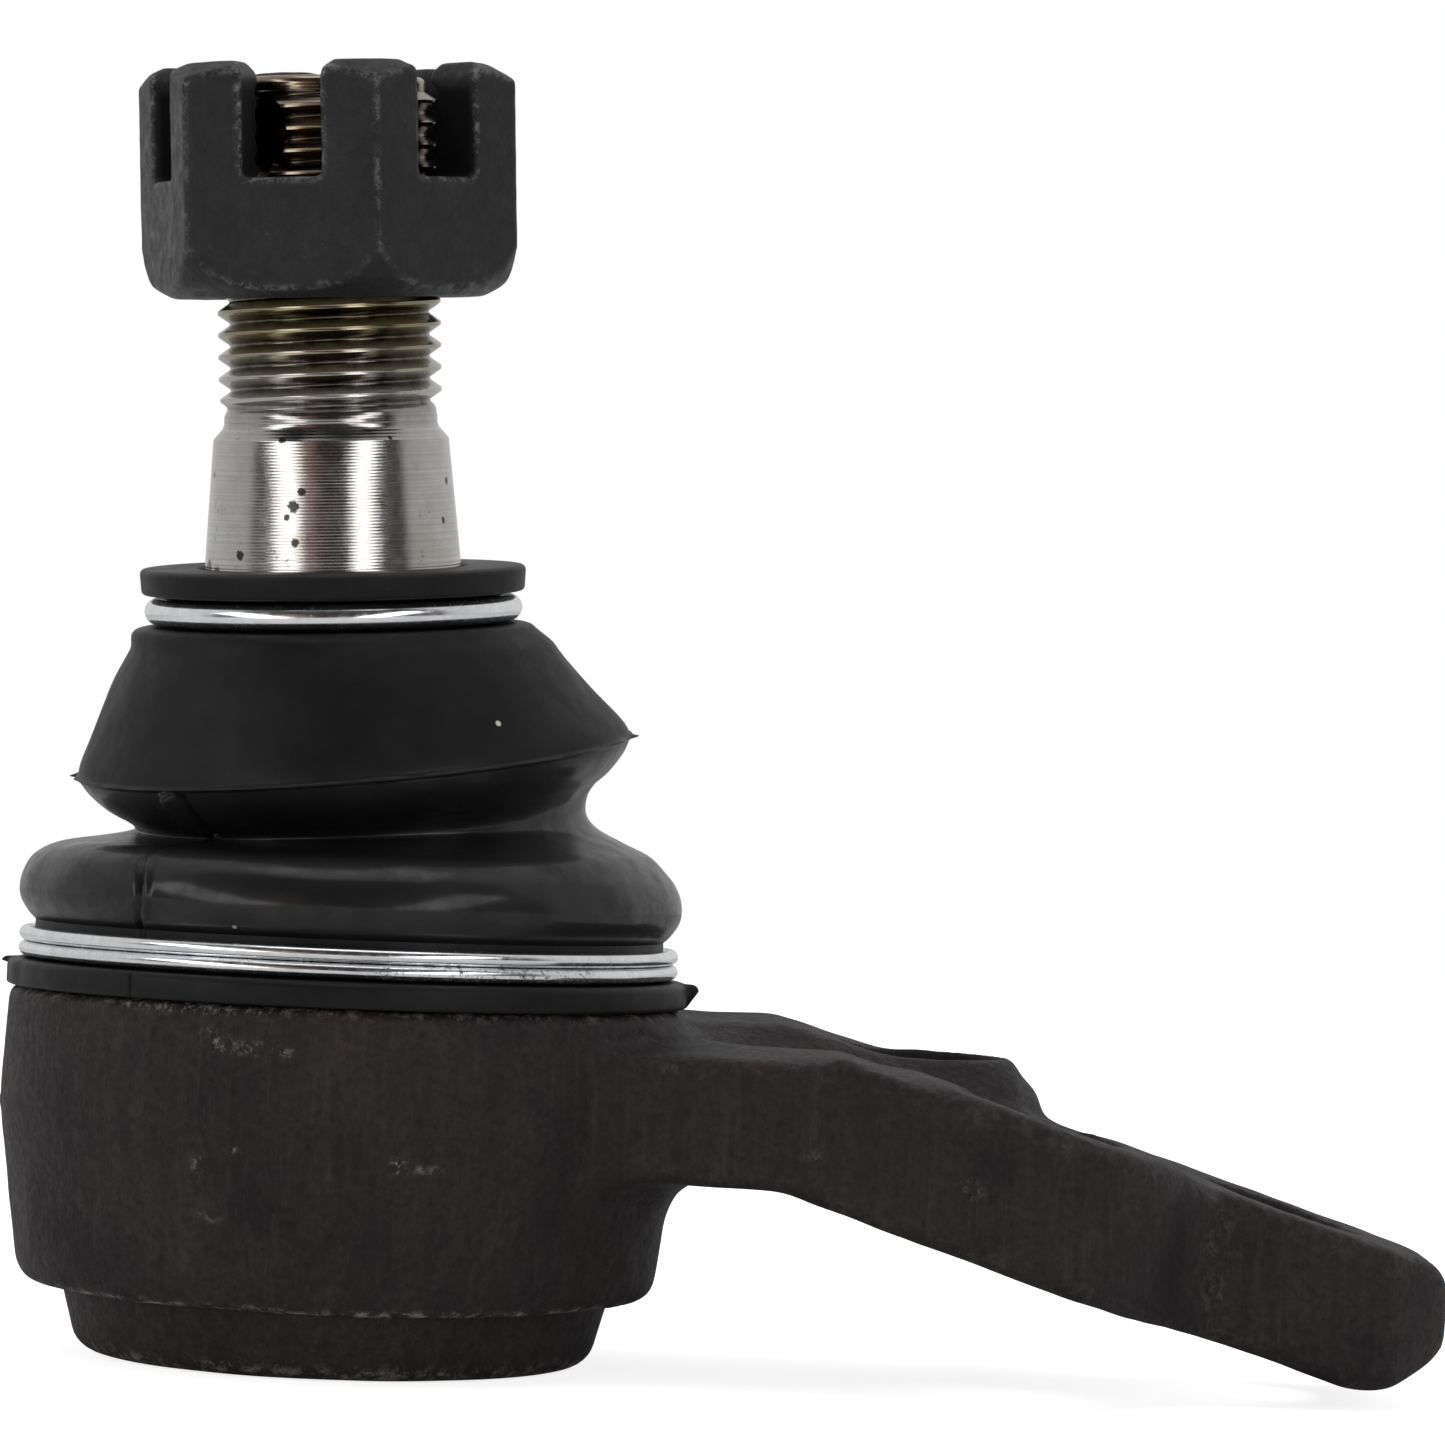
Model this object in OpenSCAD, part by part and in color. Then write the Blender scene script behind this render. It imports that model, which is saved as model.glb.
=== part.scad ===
// Ball-type tie rod end with a tapered stud, a rubber dust boot and a forged
// bolt-on arm. Millimetres. The origin is the centre of the ball, +Z runs up
// the axis of the socket and +X points to the tip of the forged arm.

/* [Swing of the stud] */
// Lean of the stud about X at rest, towards -Y
lean_x = 4.5; // [-10:0.5:10]
// Lean of the stud about Y at rest, towards +X when positive
lean_y = -3; // [-10:0.1:10]
// Swing that the opening allows each way about X and about Y
swing = 16; // [12:1:18]

/* [Ball and bearings] */
// Radius of the ball
ball_r = 11; // [10:0.25:12]
// Distance from the ball's centre to the flat under it
ball_flat = 9.8; // [9:0.1:9.9]
// Running clearance between the surfaces that slide
run_gap = 0.05; // [0.02:0.01:0.1]
// Wall of the floating liner
liner_wall = 1; // [0.8:0.05:1.4]
// Angle from the axis to the upper edge of the liner
liner_top_angle = 56; // [54:1:60]
// Angle from the downward axis to the lower edge of the liner
liner_low_angle = 50; // [44:1:60]
// Wall of the bearing seats at the ball's equator
seat_wall = 3.85; // [3:0.05:5]
// Height of the upper seat's top face above the ball's centre
seat_top = 5; // [4.5:0.1:6]
// Gap between the upper and the lower seat
seat_split = 0.8; // [0.4:0.1:1.2]
// Depth of the lower seat's bottom face below the ball's centre
seat_low = 10.6; // [10:0.1:11]
// Clearance round the seats in the bore
seat_fit = 0.05; // [0.02:0.01:0.1]
// Thickness of the plate between the seat and the spring
plate_t = 0.6; // [0.4:0.1:0.8]
// Radius of the grease hole through the lower seat and its plate
grease_hole_r = 4.5; // [3:0.5:5.5]
// Thickness of the disc spring
spring_t = 0.7; // [0.5:0.1:0.9]
// Height of the disc spring's cone under load
spring_rise = 0.5; // [0.3:0.1:0.8]

/* [Socket] */
// Wall of the socket at its top rim
socket_wall = 5.8; // [4.5:0.1:7]
// Bulge of the wall at the forging's parting line
wall_bulge = 0.3; // [0:0.1:0.6]
// Draft of the wall from the parting line down to the base
wall_draft = 1.5; // [0.5:0.1:1.8]
// Height of the parting line above the ball's centre
parting_z = 1.5; // [0:0.5:3]
// Thickness of the retaining lip above the upper seat
lip_h = 4.1; // [3:0.1:5]
// Width of the step at the foot of the wall
base_chamfer = 0.8; // [0.4:0.1:1.2]
// Clearance between the neck and the lip at full swing
neck_gap = 0.25; // [0.15:0.05:0.5]
// Radius of the spigot that the boot grips
spigot_r = 18; // [17:0.1:18.5]
// Height of the spigot above the rim
spigot_h = 3.9; // [3.2:0.1:4.5]

/* [End cover] */
// Depth of the cover's rim below the ball's centre
cover_seat_z = 7.4; // [7:0.1:8]
// Depth of the counterbore that the cover is pressed into
cover_depth = 2.5; // [2:0.1:3]
// Wall of the pressed cover
cover_wall = 1.8; // [1.4:0.1:2]
// Wall by which the cover is wider than the bore
cover_step = 1.8; // [1.6:0.1:2.4]
// Inward taper of the cover's visible skirt
cover_taper = 1.3; // [0.4:0.1:1.5]
// Radius of the cover's lower edge
cover_edge_r = 1.8; // [1:0.1:2]
// Press clearance round the cover
cover_fit = 0.05; // [0.02:0.01:0.1]

/* [Forged arm] */
// Distance from the ball's centre to the end of the arm
arm_reach = 71.5; // [68:0.5:76]
// Height of the neck's top at its far side
neck_top = 8.5; // [7.5:0.1:9]
// Depth of the neck's underside below the ball's centre
neck_low = 1.4; // [0.5:0.1:2.5]
// Half width of the neck where it leaves the socket
neck_half = 14; // [11:0.5:16]
// Fall of the neck's top towards -Y, in degrees
neck_fall = 3.6; // [0:0.2:5]
// Radius of the fillet between the neck's underside and the wall
neck_fillet = 4; // [2:0.5:5]
// Slope of the flange, in degrees
flange_slope = 17.4; // [14:0.2:20]
// Thickness of the flange, square to its faces
flange_t = 9.25; // [8:0.25:12]
// Height of the flange's top above the ball's centre at the front lobe
flange_top = 3.2; // [2.5:0.1:4.5]
// Distance from the ball's centre at which that height holds, along X
flange_top_x = 44.5; // [43:0.5:47]
// Radius of the front and rear lobes
lobe_r = 9.5; // [8.5:0.25:10.5]
// Distance from the ball's centre to the front hole, along X
front_hole_x = 44.5; // [43:0.5:47]
// Distance from the middle of the arm to the front hole
front_hole_y = 10; // [8:0.5:12]
// Distance from the ball's centre to the rear hole, along X
rear_hole_x = 37.5; // [36:0.5:41]
// Distance from the middle of the arm to the rear hole
rear_hole_y = 13; // [11:0.5:15]
// Distance from the end of the arm to the tip hole
tip_hole_inset = 10.5; // [9.5:0.5:12]
// Radius of the bolt holes
hole_r = 5.25; // [4:0.25:5.5]
// Half width of the tip
tip_half = 9.6; // [9:0.2:11]
// Half width of the flat at the end of the tip
tip_flat_half = 4.6; // [3:0.2:6]
// Length of the rounding under the end of the tip
tip_round = 6.5; // [5:0.5:8]
// Length of the tip's bevelled corners
tip_bevel = 4; // [3:0.5:6]
// Height of the raised pad round the front hole
pad_h = 0.5; // [0.2:0.1:1]
// Height of the rear lobe's level boss above the flange at its hole
boss_h = 1.3; // [0.4:0.1:1.5]
// Height of that boss's rounded edge
boss_edge = 3.6; // [2:0.1:5]
// Radius of the hollow along the top of the arm
channel_r = 11; // [9:0.5:14]
// Least depth of that hollow
channel_depth = 0.5; // [0.2:0.1:1]

/* [Stud] */
// Radius of the neck below the taper
neck_r = 6; // [5.5:0.1:6.3]
// Height of the taper's large end above the ball's centre
taper_z = 35; // [34:0.5:36]
// Length of the taper
taper_len = 10.1; // [8:0.1:12]
// Radius of the taper's small end
taper_small_r = 7.55; // [7.3:0.05:8]
// Taper, as the length in which the diameter falls by one millimetre
taper_ratio = 6; // [5:0.5:10]
// Length of the shoulder between the neck and the taper
shoulder_len = 1.8; // [1.2:0.1:2.4]
// Length of the bevel from the taper to the thread
bevel_len = 0.9; // [0.8:0.1:2]
// Radius over the thread's crests
thread_r = 7.14; // [6.8:0.02:7.25]
// Pitch of the thread
thread_pitch = 1.411; // [1:0.001:1.5]
// Depth of the thread's grooves
thread_depth = 0.75; // [0.5:0.05:0.9]
// Length of the threaded end, from the bevel
thread_len = 22.1; // [20:0.1:26]
// Radius of the cotter pin's hole
cotter_r = 2; // [1.5:0.05:2.2]
// Distance from the end of the stud to the hole's axis
cotter_inset = 3.6; // [3:0.1:4.5]
// Radius of the hole's countersunk mouths at the thread's crests
cotter_sink_r = 3.1; // [2.4:0.1:3.4]
// Depth of those mouths
cotter_sink = 0.9; // [0.4:0.1:1.2]
// Direction of the hole round the stud, in degrees from X
cotter_turn = -128; // [-180:1:180]

/* [Castle nut] */
// Width across the flats
nut_flats = 21.7; // [21:0.1:24]
// Height of the nut
nut_h = 14.8; // [14:0.1:17]
// Distance by which the nut stands above the end of the stud
nut_proud = 0.8; // [0:0.1:2]
// Width of the slots
slot_w = 5.1; // [4.2:0.1:5.5]
// Depth of the slots
slot_depth = 7.3; // [6:0.1:8.5]
// Angle of the bevel on the top corners
nut_bevel = 30; // [20:1:35]
// Rise of the bevel round the nut's foot for each millimetre outwards
nut_foot_rise = 1.3; // [1:0.1:1.6]
// Turn of the nut on the stud, in degrees
nut_turn = -11.2; // [-30:0.2:30]
// Radial clearance between the nut and the thread's crests
thread_gap = 0.05; // [0.03:0.01:0.1]

/* [Dust boot] */
// Wall of the boot
boot_wall = 1.7; // [1.3:0.1:2]
// Thickness of the lip on the socket's rim
low_lip_h = 1.7; // [1.2:0.1:2.2]
// Distance by which that lip overhangs the rim
low_lip_over = 0.2; // [0:0.05:0.5]
// Distance by which the lower fold stands outside the boot's foot
low_fold = 1.1; // [0.6:0.1:1.6]
// Height of the lower fold's widest line above the boot's foot
low_fold_z = 6.3; // [5.5:0.1:7]
// Radius of the waist between the folds
waist_r = 14.6; // [14:0.1:15.5]
// Height of the waist above the boot's foot
waist_z = 11.3; // [10.8:0.1:12]
// Radius of the upper fold
up_fold_r = 17.8; // [17:0.1:18.5]
// Height of the upper fold's widest line above the boot's foot
up_fold_z = 15.7; // [15:0.1:16.5]
// Lean of the upper fold about X at rest
up_fold_lean_x = 6; // [-8:0.5:8]
// Lean of the upper fold about Y at rest
up_fold_lean_y = -6.5; // [-8:0.5:8]
// Radius of the shoulder under the upper ring
top_shoulder_r = 13; // [12.8:0.1:13.6]
// Radius of the top lip
top_lip_r = 12.4; // [12.2:0.1:13]
// Thickness of the top lip
top_lip_h = 1.6; // [1.2:0.1:2]
// Clearance between the boot and the pieces that it hugs
boot_gap = 0.3; // [0.2:0.05:0.35]
// Radius of the upper ring's wire
up_wire_r = 0.85; // [0.7:0.05:0.95]
// Angle of the gap between the upper ring's ends
up_ring_split = 8; // [4:1:20]
// Radius of the lower ring's wire
low_wire_r = 0.42; // [0.35:0.01:0.5]
// Rise of the lower ring from its first turn to its second
low_wire_pitch = 1.28; // [1.25:0.01:1.5]
// Angle in which the lower ring's wire climbs to its second turn
low_wire_climb = 30; // [20:5:60]
// Direction of that climb round the socket, in degrees from X
low_wire_turn = 100; // [0:5:180]
// Wall of the collar inside the top of the boot
collar_wall = 1.4; // [1:0.1:1.6]
// Length of the collar
collar_len = 3; // [2:0.1:4]

/* [Hidden] */

$fn = 96;
eps = 0.01;       // overlap that makes cuts run clean through
far = 60;         // reach of the cutting blocks
press = 0.02;     // clearance of pieces pressed onto each other

// Bearing stack, from the ball outwards
liner_in_r = ball_r + run_gap;
liner_out_r = liner_in_r + liner_wall;
seat_in_r = liner_out_r + run_gap;
seat_out_r = seat_in_r + seat_wall;
bore_r = seat_out_r + seat_fit;
seat_bevel = 2.4;     // bevel on the lower seat's outer edge

// Heights of the socket
rim_z = seat_top + lip_h;
spigot_z = rim_z + spigot_h;
base_z = -cover_seat_z - cover_depth;
max_tilt = acos(pow(cos(swing), 2));
rim_r = bore_r + socket_wall;
wall_r = rim_r + wall_bulge;
base_r = wall_r - wall_draft;

// End cover
cover_r = bore_r + cover_step;
plate_z = -seat_low - plate_t;
cover_floor_z = plate_z - spring_t - spring_rise;
cover_bottom_z = cover_floor_z - cover_wall;

// Forged arm
flange_vertical_t = flange_t / cos(flange_slope);
tip_hole_x = arm_reach - tip_hole_inset;
function flange_z(x) = flange_top - (x - flange_top_x) * tan(flange_slope);
neck_end_x = flange_top_x + (flange_top - neck_top) / tan(flange_slope);
heel_x = flange_top_x + (flange_top - flange_vertical_t + neck_low) / tan(flange_slope);

// Stud
taper_big_r = taper_small_r + taper_len / taper_ratio / 2;
taper_end_z = taper_z + taper_len;
thread_z = taper_end_z + bevel_len;
stud_end_z = thread_z + thread_len;
thread_core_r = thread_r - thread_depth;
cotter_z = stud_end_z - cotter_inset;
stud_bevel = 0.9;

// Nut
nut_top_z = stud_end_z + nut_proud;
nut_z = nut_top_z - nut_h;
nut_corner_r = nut_flats / 2 / cos(30);

// Boot, measured up the axis that turns from the socket's to the stud's
collar_r = neck_r + run_gap;
collar_out_r = collar_r + collar_wall;
collar_top_z = taper_z - shoulder_len - boot_gap;
collar_low_z = collar_top_z - collar_len;
foot_r = rim_r + low_lip_over;
low_groove_r = foot_r - low_lip_h;
low_groove_z = rim_z + low_lip_h;
low_stack = low_wire_pitch + 2 * low_wire_r;
top_z = taper_z + 1.9;
top_lip_z = top_z - top_lip_h;
up_ring_z = top_lip_z - boot_gap - up_wire_r;
up_ring_r = top_lip_r - up_wire_r - 0.25;
up_groove_r = up_ring_r - up_wire_r - boot_gap;
up_groove_low_z = up_ring_z - up_wire_r - boot_gap;
turn_start_z = rim_z + 8;
turn_end_z = up_groove_low_z - 1;

// Facets of the boot and of the lower ring's wire
boot_sides = 36;
ring_steps = 24;
wire_sides = 6;

function arc(c, r, from, to, n) =
    [for (i = [0:n]) let (a = from + (to - from) * i / n) [c[0] + r * cos(a), c[1] + r * sin(a)]];

// Turns a point about X by a and then about Y by b, as the stud leans
function leaned(p, share) =
    let (b = lean_y * share, a = lean_x * share,
         x = p[0] * cos(b) + p[2] * sin(b),
         z = p[2] * cos(b) - p[0] * sin(b))
    [x, p[1] * cos(a) - z * sin(a), p[1] * sin(a) + z * cos(a)];

// Smooth rise from 0 to 1 as z goes from a to b
function rise(z, a, b) =
    let (t = min(1, max(0, (z - a) / (b - a))))
    t * t * (3 - 2 * t);

// Point of the boot: its section's middle follows the stud, while its folds lean by their own angles
function boot_point(r, t, z) =
    let (fold = rise(z, turn_start_z + 0.7, rim_z + waist_z + 1.8),
         top = rise(z, rim_z + up_fold_z, turn_end_z),
         a = up_fold_lean_x * fold * (1 - top) + lean_x * top,
         b = up_fold_lean_y * fold * (1 - top) + lean_y * top,
         middle = leaned([0, 0, z], rise(z, turn_start_z, turn_end_z)),
         x = r * cos(t) * cos(b), y = r * sin(t), drop = r * cos(t) * sin(b))
    middle + [x, y * cos(a) + drop * sin(a), y * sin(a) - drop * cos(a)];

// Side faces of a loft of closed rings, each with n points
function loft_sides(rings, n) =
    [for (i = [0:rings - 2], j = [0:n - 1])
        each let (a = i * n + j, b = i * n + (j + 1) % n, c = a + n, d = b + n)
        [[a, c, b], [b, c, d]]];

module on_stud() {
    rotate([lean_x, 0, 0]) rotate([0, lean_y, 0]) children();
}

module ring_block(outer, low, top) {
    translate([0, 0, low]) cylinder(r = outer, h = top - low);
}

// ---- Housing ----

module socket_wall_solid() {
    rotate_extrude() polygon([
        [0, base_z], [base_r - base_chamfer, base_z], [base_r, base_z + base_chamfer],
        [wall_r, parting_z], [rim_r, rim_z], [spigot_r, rim_z], [spigot_r, spigot_z], [0, spigot_z]
    ]);
}

module neck_opening() {
    rotate_extrude() polygon([
        [0, 0],
        [neck_r / cos(max_tilt) + neck_gap, 0],
        [neck_r / cos(max_tilt) + neck_gap + (spigot_z + 1) * tan(max_tilt), spigot_z + 1],
        [0, spigot_z + 1]
    ]);
}

// Outline of the arm from above, counter-clockwise from the front of the neck
module arm_plan() {
    front = [front_hole_x, -front_hole_y];
    rear = [rear_hole_x, rear_hole_y];
    polygon(concat(
        [[0, -neck_half], [rim_r + 6, -neck_half - 1]],
        arc(front, lobe_r, -115, -20, 20),
        [[front_hole_x + lobe_r + 2.4, -tip_half]],
        [[arm_reach - tip_bevel, -tip_half + 1], [arm_reach - tip_bevel / 3, -tip_flat_half - 1.4]],
        [[arm_reach, -tip_flat_half], [arm_reach, tip_flat_half]],
        [[arm_reach - tip_bevel / 3, tip_flat_half + 1.4], [arm_reach - tip_bevel, tip_half - 1]],
        [[rear_hole_x + lobe_r + 4, tip_half]],
        arc(rear, lobe_r, -5, 125, 24),
        [[rim_r + 3, neck_half + 1], [0, neck_half]]
    ));
}

// Outline of the arm from the side: a level neck, then the sloping flange
module arm_side() {
    low = flange_vertical_t;
    polygon([
        [0, -neck_low], [heel_x, -neck_low],
        [arm_reach - tip_round, flange_z(arm_reach - tip_round) - low],
        [arm_reach - 0.6 * tip_round, flange_z(arm_reach - 0.6 * tip_round) - low + 0.12 * tip_round],
        [arm_reach - 0.2 * tip_round, flange_z(arm_reach - 0.2 * tip_round) - low + 0.45 * tip_round],
        [arm_reach, flange_z(arm_reach) - low + 0.72 * tip_round],
        [arm_reach, flange_z(arm_reach) - 0.8], [arm_reach - 1, flange_z(arm_reach - 1)],
        [neck_end_x, neck_top], [0, neck_top]
    ]);
}

// Places a child on the flange's top face over the point x, y
module on_flange(x, y) {
    translate([x, y, flange_z(x)]) rotate([0, flange_slope, 0]) children();
}

module arm() {
    difference() {
        intersection() {
            translate([0, 0, -far]) linear_extrude(2 * far) arm_plan();
            union() {
                rotate([90, 0, 0]) linear_extrude(2 * far, center = true) arm_side();
                on_flange(front_hole_x, -front_hole_y) cylinder(r = lobe_r, h = pad_h);
                rear_boss();
            }
        }
        translate([0, neck_half, neck_top]) rotate([neck_fall, 0, 0])
            translate([0, -far, 0]) cube([neck_end_x + 4, far, far]);
        arm_channel();
    }
}

// Level boss with a rounded edge, which stands proud of the slope on its lower side
module rear_boss() {
    top = flange_z(rear_hole_x) + boss_h;
    translate([rear_hole_x, rear_hole_y, 0]) rotate_extrude() polygon([
        [0, -neck_low], [lobe_r, -neck_low], [lobe_r, top - boss_edge],
        [lobe_r - 0.1 * boss_edge, top - 0.72 * boss_edge],
        [lobe_r - 0.4 * boss_edge, top - 0.48 * boss_edge],
        [lobe_r - boss_edge, top - 0.1 * boss_edge], [lobe_r - 1.5 * boss_edge, top], [0, top]
    ]);
}

// Shallow hollow along the arm's top, from the socket to the tip
module arm_channel() {
    start_z = neck_top - neck_half * tan(neck_fall) - channel_depth;
    end_x = front_hole_x + lobe_r;
    fall = atan((start_z - flange_z(end_x) + channel_depth) / (end_x - rim_r));
    translate([rim_r, 0, start_z]) rotate([0, fall, 0])
        translate([-rim_r, 0, channel_r]) rotate([0, 90, 0]) cylinder(r = channel_r, h = rim_r + arm_reach);
}

module neck_underside_fillet() {
    wall = base_r;
    intersection() {
        rotate_extrude() difference() {
            translate([wall - 2, -neck_low - neck_fillet]) square([neck_fillet + 2, neck_fillet + 1]);
            translate([wall + neck_fillet, -neck_low - neck_fillet]) circle(r = neck_fillet);
        }
        translate([0, -neck_half, -far]) cube([far, 2 * neck_half, far - neck_low + 1]);
    }
}

module housing() {
    color([0.19, 0.18, 0.18]) difference() {
        union() {
            socket_wall_solid();
            arm();
            neck_underside_fillet();
        }
        ring_block(bore_r, base_z - 1, seat_top);
        ring_block(cover_r + cover_fit, base_z - 1, -cover_seat_z);
        sphere(r = seat_in_r);
        neck_opening();
        for (hole = [[front_hole_x, -front_hole_y], [rear_hole_x, rear_hole_y], [tip_hole_x, 0]])
            on_flange(hole[0], hole[1])
                translate([0, 0, -2 * flange_t]) cylinder(r = hole_r, h = 4 * flange_t);
    }
}

// ---- Pieces inside the socket ----

module end_cover() {
    skirt_r = cover_r - cover_taper;
    edge = [skirt_r - cover_edge_r, cover_bottom_z + cover_edge_r];
    inner_r = cover_r - cover_wall;
    color([0.2, 0.19, 0.19]) rotate_extrude() polygon(concat(
        [[0, cover_bottom_z]],
        arc(edge, cover_edge_r, -90, 0, 8),
        [[cover_r, base_z], [cover_r, -cover_seat_z], [inner_r, -cover_seat_z]],
        [[inner_r, base_z], [inner_r - cover_taper, cover_floor_z], [0, cover_floor_z]]
    ));
}

module upper_seat() {
    color([0.86, 0.84, 0.78]) difference() {
        ring_block(seat_out_r, seat_split / 2, seat_top - press);
        sphere(r = seat_in_r);
    }
}

module lower_seat() {
    color([0.86, 0.84, 0.78]) difference() {
        rotate_extrude() polygon([
            [0, -seat_low], [seat_out_r - seat_bevel, -seat_low],
            [seat_out_r, -seat_low + seat_bevel + 0.8], [seat_out_r, -seat_split / 2],
            [0, -seat_split / 2]
        ]);
        sphere(r = seat_in_r);
        ring_block(grease_hole_r, -seat_low - 1, 0);
    }
}

module spring_seat() {
    color([0.62, 0.63, 0.65]) difference() {
        ring_block(seat_out_r - seat_bevel - 0.3, plate_z + press, -seat_low - press);
        ring_block(grease_hole_r, plate_z - 1, 0);
    }
}

module disc_spring() {
    outer = seat_out_r - seat_bevel - 0.5;
    inner = grease_hole_r + 0.5;
    color([0.5, 0.52, 0.56]) rotate_extrude() polygon([
        [inner, plate_z - spring_t], [outer, cover_floor_z + press],
        [outer, cover_floor_z + spring_t], [inner, plate_z - press]
    ]);
}

module ball_liner() {
    color([0.55, 0.42, 0.22]) rotate([lean_x, 0, 0]) rotate_extrude() polygon(concat(
        arc([0, 0], liner_out_r, liner_low_angle - 90, 90 - liner_top_angle, 28),
        arc([0, 0], liner_in_r, 90 - liner_top_angle, liner_low_angle - 90, 28)
    ));
}

// ---- Stud and nut ----

// Half section of the thread: level crests and V grooves
function thread_points() =
    let (turns = floor((thread_len - stud_bevel) / thread_pitch) - 1)
    [for (i = [0:turns]) let (z = thread_z + i * thread_pitch)
        each [[thread_core_r, z], [thread_r, z + thread_pitch * 0.44],
              [thread_r, z + thread_pitch * 0.56]]];

module ball_stud() {
    color([0.75, 0.75, 0.76]) on_stud() difference() {
        union() {
            difference() {
                sphere(r = ball_r);
                ring_block(far, -far, -ball_flat);
            }
            rotate_extrude() polygon(concat(
                [[0, 0], [neck_r, 0], [neck_r, taper_z - shoulder_len], [taper_big_r, taper_z]],
                [[taper_small_r, taper_end_z], [thread_core_r + 0.4, thread_z - 0.3]],
                thread_points(),
                [[thread_core_r, stud_end_z - stud_bevel], [thread_core_r, stud_end_z]],
                [[0, stud_end_z]]
            ));
        }
        translate([0, 0, cotter_z]) rotate([0, 90, cotter_turn]) {
            cylinder(r = cotter_r, h = 4 * thread_r, center = true);
            for (side = [0, 180])
                rotate([side, 0, 0]) translate([0, 0, thread_r - cotter_sink])
                    cylinder(r1 = cotter_r, r2 = 2 * cotter_sink_r - cotter_r, h = 2 * cotter_sink);
        }
    }
}

module castle_nut() {
    corner = nut_corner_r;
    face_r = nut_flats / 2;
    bearing_r = face_r - 1;
    top_drop = (corner - face_r + 0.5) * tan(nut_bevel);
    low_rise = (corner - bearing_r) * nut_foot_rise;
    color([0.17, 0.17, 0.18]) on_stud() rotate([0, 0, nut_turn]) difference() {
        intersection() {
            translate([0, 0, nut_z]) cylinder(r = corner, h = nut_h, $fn = 6);
            rotate_extrude() polygon([
                [0, nut_z], [bearing_r, nut_z],
                [bearing_r + 0.55 * (corner - bearing_r), nut_z + 0.24 * low_rise],
                [bearing_r + 0.82 * (corner - bearing_r), nut_z + 0.58 * low_rise],
                [corner + eps, nut_z + low_rise],
                [corner + eps, nut_top_z - top_drop], [face_r - 0.5, nut_top_z], [0, nut_top_z]
            ]);
        }
        ring_block(thread_r + thread_gap, nut_z - 1, nut_top_z + 1);
        for (i = [0:2])
            rotate([0, 0, 30 + 60 * i]) translate([-far, -slot_w / 2, nut_top_z - slot_depth])
                cube([2 * far, slot_w, slot_depth + 1]);
    }
}

// ---- Boot and its rings ----

// Closed section of the boot: up the outside, then down the inside
function boot_section() =
    let (foot = rim_z, low_bulge_r = low_groove_r + low_fold, w = boot_wall,
         neck_in_r = collar_out_r + boot_gap, grip_r = spigot_r + press + 0.1,
         taper_grip_r = taper_big_r + boot_gap)
    concat(
        [[foot_r, foot + press], [foot_r, low_groove_z - 0.2], [low_groove_r, low_groove_z]],
        [[low_groove_r, low_groove_z + low_stack + 0.3]],
        arc([low_bulge_r - 1.9, foot + low_fold_z], 1.9, -50, 55, 5),
        [[low_bulge_r - 3, foot + low_fold_z + 3.6], [waist_r + 1.2, foot + waist_z - 1]],
        [[waist_r, foot + waist_z], [waist_r + 0.9, foot + waist_z + 1.6]],
        arc([up_fold_r - 1.4, foot + up_fold_z], 1.4, -50, 35, 4),
        [[top_shoulder_r + 0.3, up_groove_low_z - 1.6], [top_shoulder_r - 0.7, up_groove_low_z - 0.4]],
        [[up_groove_r + 0.9, up_groove_low_z], [up_groove_r, up_groove_low_z + 0.5]],
        [[up_groove_r, top_lip_z - 0.3], [top_lip_r - 0.2, top_lip_z], [top_lip_r, top_lip_z + 0.3]],
        [[top_lip_r - 0.2, top_z], [taper_grip_r, top_z], [taper_grip_r, taper_z - 0.2]],
        [[neck_in_r, taper_z - shoulder_len], [neck_in_r, collar_low_z - 0.4]],
        [[top_shoulder_r - w, up_groove_low_z - 2.6], [up_fold_r - w, foot + up_fold_z + 0.6]],
        [[up_fold_r - w - 0.2, foot + up_fold_z - 0.6], [waist_r - w + 0.5, foot + waist_z + 1.2]],
        [[waist_r - w, foot + waist_z], [waist_r - w + 0.7, foot + waist_z - 2]],
        [[low_bulge_r - w - 0.6, foot + low_fold_z + 1], [low_bulge_r - w - 0.4, foot + low_fold_z]],
        [[grip_r + 0.4, spigot_z + 0.6], [grip_r, spigot_z - 0.3], [grip_r, foot + press]]
    );

module dust_boot() {
    section = boot_section();
    n = len(section);
    points = [for (j = [0:boot_sides - 1], p = section)
        boot_point(p[0], 360 * j / boot_sides, p[1])];
    faces = [for (j = [0:boot_sides - 1], i = [0:n - 1])
        each let (k = (i + 1) % n, m = (j + 1) % boot_sides,
                  a = j * n + i, b = j * n + k, c = m * n + i, d = m * n + k)
        [[a, b, c], [b, d, c]]];
    color([0.12, 0.12, 0.125]) polyhedron(points, faces);
}

// Centre line of the lower ring's wire: two level turns with one short climb
low_ring_r = low_groove_r / cos(180 / ring_steps) + low_wire_r + press;
low_ring_z = low_groove_z + low_wire_r + 0.1;
low_ring_steps = floor((720 - low_wire_climb) * ring_steps / 360);
function low_wire_at(i) =
    let (t = 360 * i / ring_steps, u = min(1, max(0, (t - 360 + low_wire_climb) / low_wire_climb)))
    [low_ring_r * cos(t), low_ring_r * sin(t), low_ring_z + low_wire_pitch * u * u * (3 - 2 * u)];

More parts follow.
